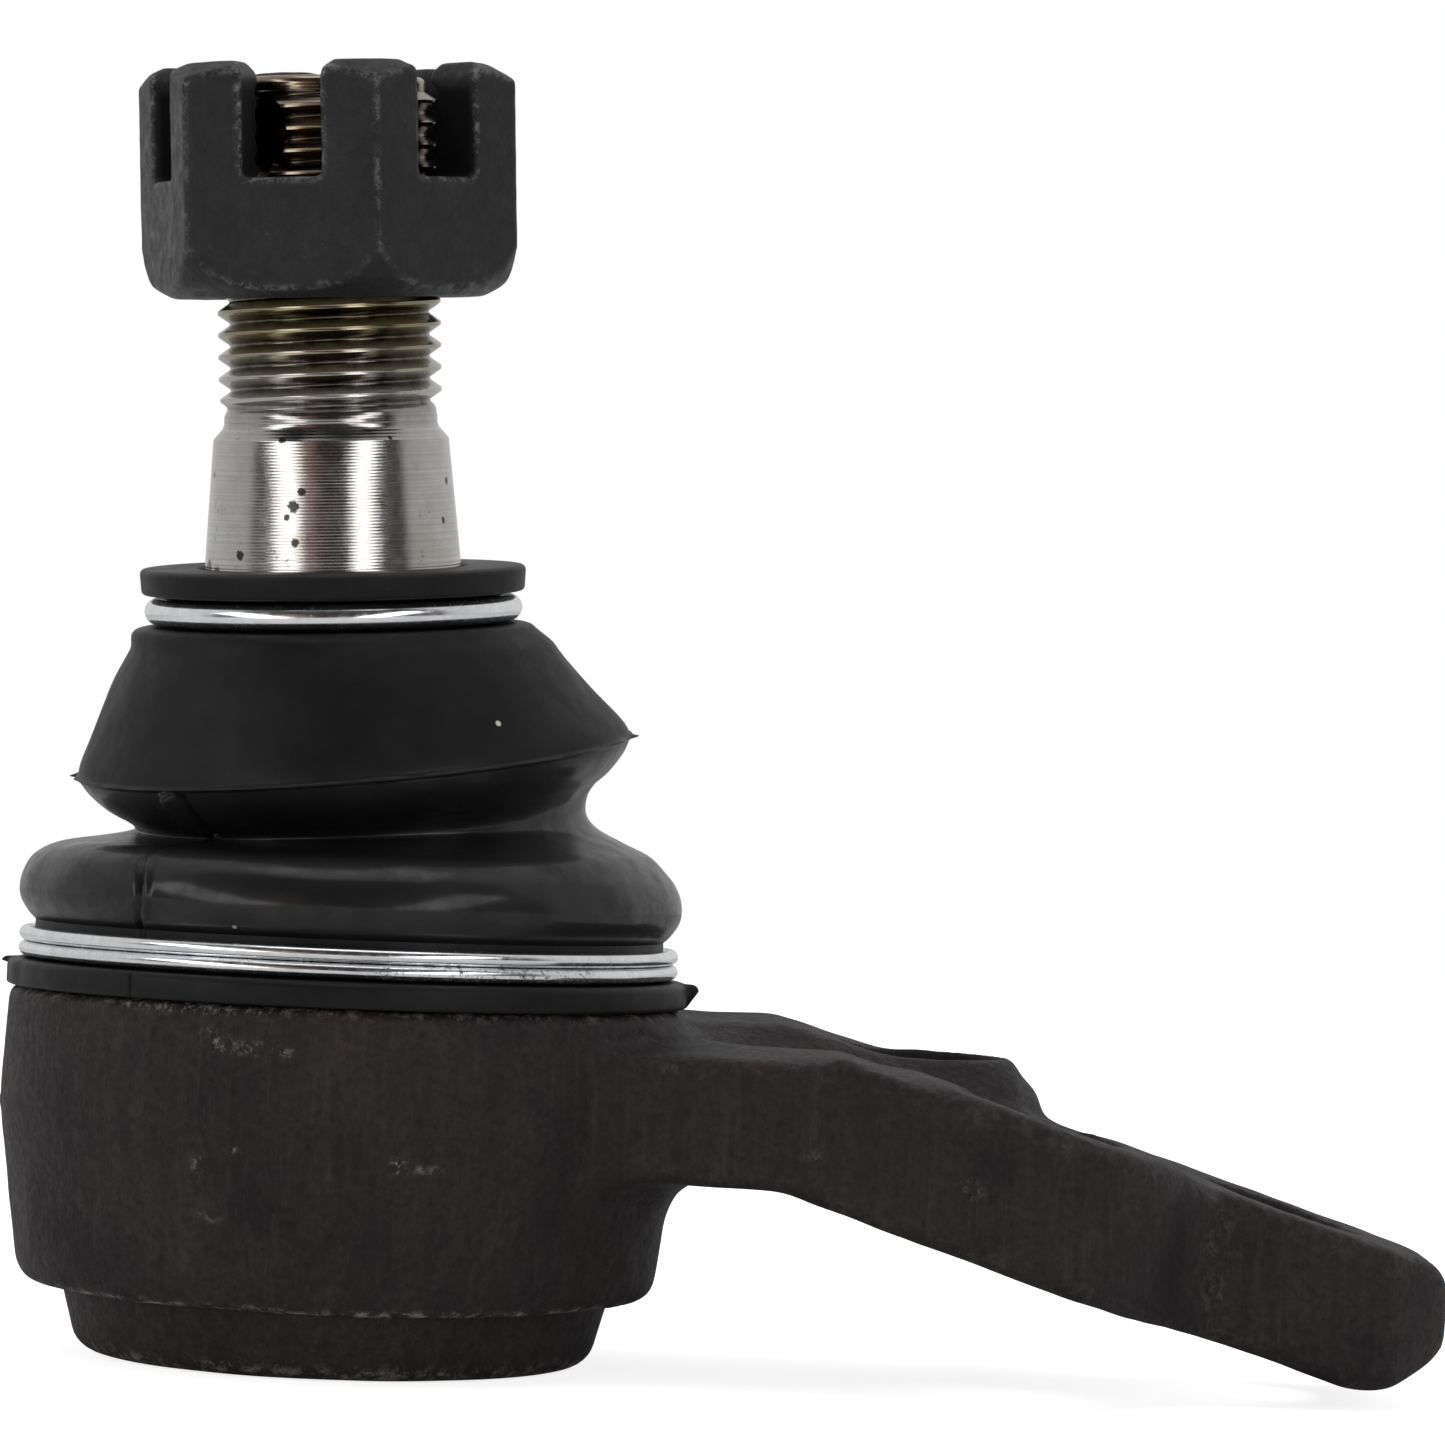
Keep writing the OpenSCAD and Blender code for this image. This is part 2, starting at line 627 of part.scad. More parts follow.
module lower_boot_ring() {
    points = [for (i = [0:low_ring_steps], k = [0:wire_sides - 1])
        let (c = low_wire_at(i), s = 360 * k / wire_sides, r = 1 + low_wire_r * cos(s) / low_ring_r)
        [c[0] * r, c[1] * r, c[2] + low_wire_r * sin(s)]];
    last = low_ring_steps * wire_sides;
    faces = concat(
        [[for (k = [0:wire_sides - 1]) k]],
        loft_sides(low_ring_steps + 1, wire_sides),
        [[for (k = [wire_sides - 1:-1:0]) last + k]]);
    color([0.78, 0.79, 0.8]) rotate([0, 0, low_wire_turn]) polyhedron(points, faces);
}

low_ring_gaps = [for (i = [0:low_ring_steps - ring_steps], j = [-2:min(2, low_ring_steps - ring_steps - i)])
    norm(low_wire_at(i + ring_steps + j) - low_wire_at(i)) - 2 * low_wire_r];
echo(least_gap_in_lower_ring_mm = min(low_ring_gaps));

module upper_boot_ring() {
    color([0.78, 0.79, 0.8]) on_stud() rotate([0, 0, 90 + up_ring_split / 2])
        rotate_extrude(angle = 360 - up_ring_split)
            translate([up_ring_r, up_ring_z]) circle(r = up_wire_r, $fn = 32);
}

module boot_collar() {
    color([0.7, 0.68, 0.6]) on_stud() difference() {
        ring_block(collar_out_r, collar_low_z, collar_top_z);
        ring_block(collar_r, collar_low_z - 1, collar_top_z + 1);
    }
}

housing();
end_cover();
upper_seat();
lower_seat();
spring_seat();
disc_spring();
ball_liner();
ball_stud();
castle_nut();
dust_boot();
lower_boot_ring();
upper_boot_ring();
boot_collar();
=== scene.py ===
import math

import bmesh
import bpy
import numpy as np
from mathutils import Matrix, Vector, noise


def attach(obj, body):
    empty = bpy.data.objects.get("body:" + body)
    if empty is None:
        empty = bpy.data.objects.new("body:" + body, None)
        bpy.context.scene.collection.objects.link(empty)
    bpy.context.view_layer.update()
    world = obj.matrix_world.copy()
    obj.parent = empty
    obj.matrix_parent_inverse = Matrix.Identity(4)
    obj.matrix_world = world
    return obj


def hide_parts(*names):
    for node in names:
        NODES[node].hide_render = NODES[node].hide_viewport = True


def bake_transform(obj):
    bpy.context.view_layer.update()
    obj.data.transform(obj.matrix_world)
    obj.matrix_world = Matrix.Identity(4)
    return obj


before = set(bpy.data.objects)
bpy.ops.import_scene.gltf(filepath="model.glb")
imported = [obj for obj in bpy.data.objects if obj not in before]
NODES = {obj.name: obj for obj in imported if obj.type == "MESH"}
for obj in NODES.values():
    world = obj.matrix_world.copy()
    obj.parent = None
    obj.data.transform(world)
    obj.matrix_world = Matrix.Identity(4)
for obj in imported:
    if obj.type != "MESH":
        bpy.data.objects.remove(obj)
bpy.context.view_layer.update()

MM = 0.001

# ---- Sizes shared with part.scad, in millimetres ----
LEAN_X, LEAN_Y = 4.5, -3.0
RIM_Z, BASE_Z, SPIGOT_R = 9.1, -9.9, 18.0
COVER_R, COVER_SEAT_Z, COVER_FLOOR_Z, COVER_BOTTOM_Z = 17.8, -7.4, -12.4, -14.2
TAPER_Z, TAPER_END_Z, THREAD_Z, STUD_END_Z = 35.0, 45.1, 46.0, 68.1
TAPER_BIG_R, TAPER_SMALL_R, THREAD_R, CORE_R, PITCH = 8.39, 7.55, 7.14, 6.39, 1.411
BALL_R, BALL_FLAT_Z, NECK_R = 11, -9.8, 6.0
COTTER_Z, COTTER_TURN, COTTER_R = 64.5, -128.0, 2.0
NUT_Z, NUT_TOP_Z, NUT_FLATS, NUT_TURN = 54.1, 68.9, 21.7, -11.2
NUT_SLOT_DEPTH, NUT_SLOT_WIDTH = 7.3, 5.1
FOOT_R, GROOVE_R, GROOVE_Z = 22.0, 20.3, 10.8
UPPER_RING_R, UPPER_RING_Z = 11.3, 34.15
FOLD_LEAN_X, FOLD_LEAN_Y = 6.0, -6.5
FLANGE_TOP, FLANGE_TOP_X, FLANGE_SLOPE = 3.2, 44.5, 17.4
BOLT_HOLE_R, REAR_HOLE = 5.25, (37.5, 13)
BOLT_HOLES = ((44.5, -10), REAR_HOLE, (61, 0))

# ---- Sizes of this scene alone ----
HOUSING_VOXEL, NUT_VOXEL = 0.36, 0.17
UPPER_WIRE_R, LOWER_WIRE_R = 0.84, 0.48
LOWER_WIRE_PITCH = 0.97                 # its turns all but touch; in part.scad they lie apart
FOOT_Z = RIM_Z                          # underside of the boot's foot
SKIRT_R = SPIGOT_R + 0.12               # the foot's bore, clear of the spigot
OUTER_WAIST = (15.4, FOOT_Z + 12.8)     # where the two shells meet, outside and inside
INNER_WAIST = (13.7, FOOT_Z + 12.9)
SHOULDER = (10.3, 33.2)                 # bottom of the upper ring's groove
MOUTH = (8.0, 33.6)                     # inner edge of the top lip
FLASH_Z = 15.6                          # moulding flash, above the foot
SEAM_TURN = -125.5                      # azimuth of the moulding seam
BEND_START, BEND_END = RIM_Z + 8, 32.0  # heights between which the folds take up the lean


def smoothstep(t):
    t = np.clip(t, 0.0, 1.0)
    return t * t * (3 - 2 * t)


def turn(axis, degrees):
    return np.array(Matrix.Rotation(math.radians(degrees), 3, axis))


ON_STUD = turn("X", LEAN_X) @ turn("Y", LEAN_Y)
UPRIGHT = np.array([0.0, 0.0, 1.0])


def leaned(points, share):
    """Points turned about X, then Y, by their share of the stud's lean."""
    a, b = np.radians(LEAN_X * share), np.radians(LEAN_Y * share)
    x = points[:, 0] * np.cos(b) + points[:, 2] * np.sin(b)
    z = points[:, 2] * np.cos(b) - points[:, 0] * np.sin(b)
    y = points[:, 1]
    return np.stack([x, y * np.cos(a) - z * np.sin(a), y * np.sin(a) + z * np.cos(a)], 1)


def mesh_object(name, points, faces, material, smooth=True, angle=None):
    """Object from points in millimetres."""
    mesh = bpy.data.meshes.new(name)
    mesh.from_pydata((np.asarray(points, float) * MM).tolist(), [], [list(map(int, f)) for f in faces])
    mesh.validate()
    mesh.update()
    obj = bpy.data.objects.new(name, mesh)
    bpy.context.scene.collection.objects.link(obj)
    if material:
        mesh.materials.append(material)
    if smooth:
        mesh.shade_smooth()
    if angle is not None:
        mesh.set_sharp_from_angle(angle=math.radians(angle))
    return obj


def outward(obj):
    bm = bmesh.new()
    bm.from_mesh(obj.data)
    bmesh.ops.remove_doubles(bm, verts=bm.verts, dist=1e-7)
    bmesh.ops.recalc_face_normals(bm, faces=bm.faces)
    bm.to_mesh(obj.data)
    bm.free()


def apply_modifiers(obj):
    dg = bpy.context.evaluated_depsgraph_get()
    mesh = bpy.data.meshes.new_from_object(obj.evaluated_get(dg))
    obj.modifiers.clear()
    obj.data = mesh


def voxel_remesh(obj, size):
    """Fine even mesh, so that edges round off and wear by their curve."""
    m = obj.modifiers.new("voxels", "REMESH")
    m.mode, m.voxel_size, m.adaptivity = "VOXEL", size * MM, 0.0
    apply_modifiers(obj)


def boolean(obj, cutter, operation="DIFFERENCE"):
    """Exact cut, worked out in millimetres, where its tolerances suit small pieces."""
    for o in (obj, cutter):
        o.data.transform(Matrix.Scale(1000, 4))
    m = obj.modifiers.new("cut", "BOOLEAN")
    m.operation, m.object, m.solver = operation, cutter, "EXACT"
    apply_modifiers(obj)
    obj.data.transform(Matrix.Scale(MM, 4))
    bpy.data.objects.remove(cutter)


def lathe(profile, steps):
    """Closed surface of revolution of a profile whose ends lie on the axis."""
    points, faces, rings = [], [], []
    for r, z in profile:
        if r < 1e-6:
            rings.append([len(points)])
            points.append([0, 0, z])
        else:
            rings.append(list(range(len(points), len(points) + steps)))
            for i in range(steps):
                t = 2 * math.pi * i / steps
                points.append([r * math.cos(t), r * math.sin(t), z])
    for a, b in zip(rings, rings[1:]):
        for i in range(steps):
            k = (i + 1) % steps
            if len(a) == 1:
                faces.append([a[0], b[k], b[i]])
            elif len(b) == 1:
                faces.append([a[i], a[k], b[0]])
            else:
                faces.append([a[i], a[k], b[k], b[i]])
    return np.array(points), faces


def rounded(profile, radii, n=5):
    """Profile with its corners rounded: radii[i] is the radius at point i."""
    out = []
    count = len(profile)
    for i, p in enumerate(profile):
        r = radii[i]
        if r <= 0 or i in (0, count - 1):
            out.append(tuple(p))
            continue
        p = np.array(p, float)
        a = np.array(profile[i - 1], float) - p
        b = np.array(profile[i + 1], float) - p
        la, lb = np.linalg.norm(a), np.linalg.norm(b)
        a, b = a / la, b / lb
        angle = math.acos(np.clip(a @ b, -1, 1))
        cut = min(r / math.tan(angle / 2), 0.48 * la, 0.48 * lb)
        r = cut * math.tan(angle / 2)
        middle = a + b
        centre = p + middle / np.linalg.norm(middle) * (r / math.sin(angle / 2))
        start, end = p + a * cut - centre, p + b * cut - centre
        sweep = math.pi - angle
        for k in range(n + 1):
            w = k / n
            s0, s1 = math.sin((1 - w) * sweep), math.sin(w * sweep)
            out.append(tuple(centre + (start * s0 + end * s1) / math.sin(sweep)))
    return out


def sweep(centres, radius, sides):
    """Round wire along the centres, with flat ends."""
    c = np.asarray(centres, float)
    n = len(c)
    tangent = np.gradient(c, axis=0)
    tangent /= np.linalg.norm(tangent, axis=1)[:, None]
    side = np.cross(tangent, UPRIGHT)
    side /= np.linalg.norm(side, axis=1)[:, None]
    over = np.cross(side, tangent)
    points, faces = [], []
    for i in range(n):
        for k in range(sides):
            t = 2 * math.pi * k / sides
            points.append(c[i] + radius * (side[i] * math.cos(t) + over[i] * math.sin(t)))
    for i in range(n - 1):
        for k in range(sides):
            q = (k + 1) % sides
            faces.append([i * sides + k, i * sides + q, (i + 1) * sides + q, (i + 1) * sides + k])
    faces.append(list(range(sides))[::-1])
    faces.append([(n - 1) * sides + k for k in range(sides)])
    return points, faces


# ---- Materials ----

class Shade:
    """Small helper for node materials."""

    def __init__(self, name):
        self.mat = bpy.data.materials.new(name)
        self.mat.use_nodes = True
        self.tree = self.mat.node_tree
        self.bsdf = self.tree.nodes["Principled BSDF"]
        self.coord = self.tree.nodes.new("ShaderNodeTexCoord").outputs["Object"]
        self.normal = None

    def node(self, kind, **settings):
        n = self.tree.nodes.new("ShaderNode" + kind)
        for k, v in settings.items():
            setattr(n, k, v)
        return n

    def link(self, a, b):
        self.tree.links.new(a, b)

    def scaled(self, x, y, z):
        m = self.node("Mapping")
        m.inputs["Scale"].default_value = (x, y, z)
        self.link(self.coord, m.inputs["Vector"])
        return m.outputs["Vector"]

    def noise(self, scale, detail, rough, vector=None):
        n = self.node("TexNoise")
        n.inputs["Scale"].default_value = scale
        n.inputs["Detail"].default_value = detail
        n.inputs["Roughness"].default_value = rough
        self.link(vector or self.coord, n.inputs["Vector"])
        return n.outputs["Fac"]

    def ramp(self, fac, stops):
        """Colour ramp. Each stop is (position, grey or (r, g, b))."""
        n = self.node("ValToRGB")
        e = n.color_ramp.elements
        while len(e) < len(stops):
            e.new(0.5)
        for s, (p, c) in zip(e, stops):
            s.position = p
            s.color = (*c, 1) if isinstance(c, tuple) else (c, c, c, 1)
        self.link(fac, n.inputs["Fac"])
        return n.outputs["Color"]

    def math(self, op, a, b=None):
        n = self.node("Math", operation=op)
        for i, v in enumerate((a, b)):
            if v is None:
                continue
            if isinstance(v, (int, float)):
                n.inputs[i].default_value = v
            else:
                self.link(v, n.inputs[i])
        return n.outputs[0]

    def mix(self, fac, a, b):
        n = self.node("Mix", data_type="RGBA")
        for i, v in ((0, fac), (6, a), (7, b)):
            if isinstance(v, (int, float)):
                n.inputs[i].default_value = v if i == 0 else (v, v, v, 1)
            elif isinstance(v, tuple):
                n.inputs[i].default_value = (*v, 1)
            else:
                self.link(v, n.inputs[i])
        return n.outputs[2]

    def attribute(self, name):
        n = self.node("Attribute", attribute_name=name)
        return n.outputs["Fac"]

    def bump(self, height, strength, distance_mm):
        n = self.node("Bump")
        n.inputs["Strength"].default_value = strength
        n.inputs["Distance"].default_value = distance_mm * MM
        self.link(height, n.inputs["Height"])
        if self.normal:
            self.link(self.normal, n.inputs["Normal"])
        self.normal = n.outputs["Normal"]
        self.link(self.normal, self.bsdf.inputs["Normal"])

    def set(self, name, value):
        s = self.bsdf.inputs[name]
        if isinstance(value, (int, float)):
            s.default_value = value
        elif isinstance(value, tuple):
            s.default_value = (*value, 1)
        else:
            self.link(value, s)

    def away(self, place, unit_mm):
        """Distance from a place in millimetres, in the given unit."""
        far = self.node("VectorMath", operation="DISTANCE")
        self.link(self.coord, far.inputs[0])
        far.inputs[1].default_value = tuple(v * MM for v in place)
        return self.math("DIVIDE", far.outputs["Value"], unit_mm * MM)

    def rise(self, value, low_mm, high_mm):
        """0 below the lower height, 1 above the upper one, smooth between."""
        n = self.node("MapRange", interpolation_type="SMOOTHSTEP")
        n.inputs["From Min"].default_value = low_mm * MM
        n.inputs["From Max"].default_value = high_mm * MM
        self.link(value, n.inputs["Value"])
        return n.outputs[0]


def shaded(colour, share):
    return tuple(share * v for v in colour)


def forging_material(name, dark, light, warm):
    """Scaled and oiled forged skin: drawn streaks, mottle, pits and worn spots, plus painted shade where
    the mesh marks its fillets.
    """
    s = Shade(name)
    blotch = s.noise(110, 8, 0.72)
    grain = s.noise(1900, 6, 0.75)
    streak = s.noise(1, 6, 0.8, s.scaled(2600, 2600, 130))
    broad = s.noise(1, 4, 0.7, s.scaled(700, 700, 60))
    base = s.ramp(blotch, [(0.36, dark), (0.5, light), (0.62, warm)])
    base = s.mix(s.ramp(grain, [(0.35, 0.0), (0.7, 0.75)]), base, shaded(dark, 0.35))
    base = s.mix(s.ramp(streak, [(0.52, 0.0), (0.72, 0.6)]), base, shaded(light, 2.0))
    base = s.mix(s.ramp(broad, [(0.3, 0.7), (0.55, 0.0)]), base, dark)
    # painted shade: the fillets and the front lobe's end are darkened
    base = s.mix(s.math("MULTIPLY", s.attribute("hollow"), 0.7), base, shaded(dark, 0.45))
    dot = s.ramp(s.noise(1500, 10, 0.9), [(0.62, 0.0), (0.69, 1.0)])
    base = s.mix(s.math("MULTIPLY", dot, 0.5), base, (0.13, 0.12, 0.115))
    patch = s.ramp(s.noise(900, 9, 0.85), [(0.5, 0.0), (0.58, 1.0)])
    wear = s.math("MULTIPLY", s.attribute("worn"), patch)
    base = s.mix(wear, base, (0.42, 0.39, 0.36))
    s.set("Base Color", base)
    s.set("Metallic", s.math("MULTIPLY", wear, 0.6))
    s.set("Roughness", s.ramp(grain, [(0.3, 0.46), (0.7, 0.72)]))
    s.set("Specular IOR Level", 0.22)
    s.bump(s.noise(320, 6, 0.7), 0.6, 0.25)
    s.bump(streak, 0.5, 0.12)
    s.bump(grain, 0.5, 0.08)
    return s.mat


def nut_material():
    """Black oxide over a shot-blasted surface, worn bright along its edges, with painted shade in the
    slots.
    """
    s = Shade("nut_black_oxide")
    grain = s.noise(2600, 6, 0.8)
    dark, light = (0.0062, 0.0061, 0.0072), (0.0165, 0.0160, 0.0182)
    base = s.ramp(s.noise(260, 8, 0.75), [(0.36, dark), (0.64, light)])
    base = s.mix(s.ramp(grain, [(0.4, 0.0), (0.62, 0.7)]), base, (0.004, 0.004, 0.006))
    dot = s.ramp(s.noise(2100, 10, 0.9), [(0.60, 0.0), (0.68, 1.0)])
    base = s.mix(s.math("MULTIPLY", dot, 0.6), base, (0.14, 0.14, 0.15))
    flake = s.ramp(s.noise(1300, 10, 0.9), [(0.49, 0.0), (0.58, 1.0)])
    wear = s.math("MULTIPLY", s.attribute("worn"), flake)
    base = s.mix(wear, base, (0.27, 0.27, 0.28))
    # painted shade: the slots' walls near black
    slot_shade = s.attribute("slot_shade")
    base = s.mix(s.math("MULTIPLY", slot_shade, 0.85), base, (0.0012, 0.0012, 0.0012))
    s.set("Base Color", base)
    s.set("Metallic", s.math("MULTIPLY", wear, 0.6))
    rough = s.ramp(s.noise(900, 8, 0.75), [(0.35, 0.34), (0.65, 0.6)])
    s.set("Roughness", s.mix(slot_shade, rough, 1.0))
    s.set("Specular IOR Level", 0.32)
    s.bump(s.noise(420, 6, 0.7), 0.55, 0.15)
    s.bump(grain, 0.6, 0.07)
    return s.mat


def stud_material():
    """Turned steel: fine rings, oil on the upper threads, dirt and brown film."""
    s = Shade("stud_steel")
    along = s.node("VectorMath", operation="DOT_PRODUCT")
    s.link(s.coord, along.inputs[0])
    along.inputs[1].default_value = tuple(ON_STUD @ UPRIGHT)
    height = along.outputs["Value"]
    combine = s.node("CombineXYZ")
    s.link(height, combine.inputs["Z"])
    turned = s.noise(4800, 3, 0.7, combine.outputs[0])
    feed = 0.2
    ridge = s.math("SINE", s.math("MULTIPLY", height, 2 * math.pi / (feed * MM)))
    film = s.ramp(s.noise(300, 7, 0.75), [(0.42, 0.0), (0.62, 1.0)])
    oiled, tip = s.rise(height, 47.5, 52.5), s.rise(height, 55.5, 57.5)
    base = s.ramp(turned, [(0.35, (0.40, 0.395, 0.39)), (0.65, (0.56, 0.555, 0.55))])
    base = s.mix(s.math("MULTIPLY", film, 0.35), base, (0.34, 0.27, 0.21))
    base = s.mix(s.math("MULTIPLY", oiled, 0.8), base, (0.235, 0.20, 0.10))
    base = s.mix(s.math("MULTIPLY", tip, 0.85), base, (0.27, 0.215, 0.165))
    # the thread's roots are darker, in patches
    root_mottle = s.ramp(s.noise(800, 6, 0.8), [(0.3, 0.4), (0.6, 1.0)])
    darker_roots = s.math("MULTIPLY", s.attribute("groove"), root_mottle)
    base = s.mix(s.math("MULTIPLY", darker_roots, 0.9), base, (0.035, 0.028, 0.02))
    dirt = s.ramp(s.noise(520, 10, 0.85), [(0.60, 0.0), (0.64, 0.8)])
    rough_edge = s.math("MULTIPLY", s.noise(2400, 8, 0.9), 1.2)
    for azimuth, z, size in STUD_DIRT:
        far = s.away(ON_STUD @ on_taper(azimuth, z), 2.2 * size)
        near = s.ramp(s.math("ADD", far, rough_edge), [(0.98, 1.0), (1.0, 0.0)])
        dirt = s.math("MAXIMUM", dirt, near)
    base = s.mix(dirt, base, (0.022, 0.015, 0.011))
    s.set("Base Color", base)
    s.set("Metallic", s.ramp(dirt, [(0.0, 1.0), (1.0, 0.2)]))
    s.set("Roughness", s.ramp(s.noise(900, 5, 0.7), [(0.3, 0.13), (0.7, 0.24)]))
    s.bump(ridge, 0.16, 0.012)
    s.bump(turned, 0.22, 0.02)
    s.bump(s.noise(1500, 5, 0.7), 0.10, 0.03)
    return s.mat


def rubber_material():
    """Moulded rubber: oily sheen, dull dusty spots and fine skin."""
    s = Shade("boot_rubber")
    blotch = s.noise(130, 7, 0.7)
    fine = s.noise(2200, 6, 0.75)
    base = s.ramp(blotch, [(0.36, (0.0035, 0.0034, 0.0036)), (0.64, (0.0085, 0.008, 0.0082))])
    dust = s.ramp(s.noise(1100, 10, 0.9), [(0.61, 0.0), (0.72, 0.55)])
    base = s.mix(dust, base, (0.075, 0.07, 0.066))
    for place, size in BOOT_SPECKS:
        near = s.ramp(s.away(place, 2 * size), [(0.42, 1.0), (0.55, 0.0)])
        base = s.mix(near, base, (0.60, 0.58, 0.52))
    # the top face is lighter: settled dust and painted light from above
    patchy = s.ramp(s.noise(500, 8, 0.8), [(0.3, 0.35), (0.6, 1.0)])
    dust_and_top_light = s.math("MULTIPLY", s.attribute("dust"), patchy)
    s.set("Base Color", s.mix(dust_and_top_light, base, (0.050, 0.046, 0.044)))
    dull = s.ramp(s.noise(240, 8, 0.75), [(0.36, 0.0), (0.64, 1.0)])
    s.set("Roughness", s.math("ADD", s.math("MULTIPLY", dull, 0.15), 0.42))
    s.set("Specular IOR Level", 0.2)
    film = s.ramp(s.noise(420, 8, 0.8), [(0.34, 0.25), (0.6, 0.75)])
    s.set("Coat Weight", s.math("MULTIPLY", s.attribute("gloss"), film))
    s.set("Coat Roughness", 0.17)
    s.bump(s.noise(330, 6, 0.7), 0.30, 0.12)
    s.bump(fine, 0.22, 0.05)
    return s.mat


def zinc_material():
    """Bright zinc-plated wire with white bloom and dark spots."""
    s = Shade("zinc_wire")
    base = s.ramp(s.noise(500, 7, 0.75), [(0.34, (0.70, 0.71, 0.73)), (0.66, (0.90, 0.91, 0.92))])
    fleck = s.ramp(s.noise(2300, 8, 0.85), [(0.53, 0.0), (0.58, 1.0)])
    spot = s.math("MULTIPLY", s.attribute("rust"), fleck)
    base = s.mix(spot, base, (0.035, 0.03, 0.026))
    s.set("Base Color", base)
    s.set("Metallic", s.ramp(spot, [(0.0, 1.0), (1.0, 0.1)]))
    s.set("Roughness", s.ramp(s.noise(1500, 6, 0.75), [(0.35, 0.12), (0.65, 0.28)]))
    s.bump(s.noise(1500, 5, 0.7), 0.10, 0.03)
    return s.mat


def plain_material(name, low, high, metallic, rough_low, rough_high, scale=600):
    s = Shade(name)
    n = s.noise(scale, 6, 0.7)
    s.set("Base Color", s.ramp(s.noise(scale / 3, 6, 0.65), [(0.3, low), (0.7, high)]))
    s.set("Metallic", metallic)
    s.set("Roughness", s.ramp(n, [(0.3, rough_low), (0.7, rough_high)]))
    s.bump(n, 0.3, 0.05)
    return s.mat


def on_taper(azimuth, z):
    """Place on the stud's taper; azimuth 0 faces -Y and grows towards +X."""
    r = TAPER_BIG_R + (TAPER_SMALL_R - TAPER_BIG_R) * (z - TAPER_Z) / (TAPER_END_Z - TAPER_Z)
    a = math.radians(azimuth)
    return np.array([r * math.sin(a), -r * math.cos(a), z])


# dirt on the stud's taper: azimuth, height, size
STUD_DIRT = ((-14, 41.0, 0.42), (-10, 41.9, 0.3), (-17, 40.3, 0.25), (-13, 38.7, 0.32),
             (-42, 37.9, 0.36), (-70, 36.9, 0.7), (-60, 36.6, 0.6), (74, 42.4, 0.32),
             (66, 39.9, 0.25), (-71, 42.9, 0.25), (-20, 45.2, 0.3), (34, 45.3, 0.25))

# light specks on the boot: place, size
BOOT_SPECKS = (((-5.9, -20.2, 13.6), 0.34), ((-7.0, -15.9, 25.6), 0.16),
               ((-12.8, -9.5, 28.0), 0.16), ((9.6, -14.6, 27.0), 0.2))

FORGING = forging_material("forging_black", dark=(0.0136, 0.0108, 0.0110),
                           light=(0.0292, 0.0236, 0.0242), warm=(0.040, 0.0290, 0.0290))
COVER = forging_material("cover_black", dark=(0.0165, 0.0130, 0.0132),
                         light=(0.0370, 0.0290, 0.0295), warm=(0.0420, 0.0320, 0.0320))
NUT = nut_material()
STUD = stud_material()
RUBBER = rubber_material()
ZINC = zinc_material()


def set_attribute(obj, name, values):
    a = obj.data.attributes.get(name) or obj.data.attributes.new(name, "FLOAT", "POINT")
    a.data.foreach_set("value", np.asarray(values, np.float32))


def coords(obj):
    """Points of a mesh in millimetres."""
    co = np.zeros(len(obj.data.vertices) * 3, np.float32)
    obj.data.vertices.foreach_get("co", co)
    return co.reshape(-1, 3).astype(float) / MM


def set_coords(obj, points):
    obj.data.vertices.foreach_set("co", (points * MM).astype(np.float32).ravel())
    obj.data.update()


def normals(obj):
    n = np.zeros(len(obj.data.vertices) * 3, np.float32)
    obj.data.vertices.foreach_get("normal", n)
    return n.reshape(-1, 3).astype(float)


def edges_of(obj):
    e = np.zeros(len(obj.data.edges) * 2, np.int32)
    obj.data.edges.foreach_get("vertices", e)
    return e.reshape(-1, 2)


def neighbour_mean(points, edges, counts):
    out = np.empty_like(points)
    for k in range(points.shape[1]):
        c = np.bincount(edges[:, 0], points[edges[:, 1], k], len(points))
        c += np.bincount(edges[:, 1], points[edges[:, 0], k], len(points))
        out[:, k] = c / counts
    return out


def curvature(points, normal, edges, counts, rounds):
    """How far the neighbours' mean lies out of the surface, evened out: edges are negative."""
    bend = ((neighbour_mean(points, edges, counts) - points) * normal).sum(1)[:, None]
    for i in range(rounds):
        bend = neighbour_mean(bend, edges, counts)
    return bend[:, 0]


def wave(points, scale, seed):
    """Smooth noise at the points, about -1 to 1."""
    out = np.zeros(len(points))
    for i, p in enumerate(points * scale + seed):
        out[i] = noise.noise(Vector(p))
    return out


# ---- Housing: the forging ----

# scuffs: place, half width, half height, strength
SCUFFS = ((-6.9, -20.9, 6.9, 0.55, 0.5, 0.9), (-5.9, -21.2, 6.6, 0.5, 0.35, 0.8),
          (-4.2, -21.6, 6.5, 0.9, 0.3, 0.8), (-3.0, -21.8, 6.7, 0.3, 0.45, 0.9),
          (-2.2, -21.9, 6.3, 0.3, 0.25, 0.6), (4.9, -21.5, -0.3, 0.5, 0.35, 1.0),
          (6.6, -21.1, -0.5, 1.1, 0.15, 0.45), (-7.4, -20.3, -0.8, 0.3, 0.6, 0.7),
          (-5.1, -21.0, 0.2, 0.3, 0.3, 0.6), (-6.9, -20.4, -4.0, 0.7, 0.2, 0.5),
          (40, -19.5, -0.5, 0.6, 0.4, 0.8), (30.5, -14.5, 1.0, 0.7, 0.25, 0.5))


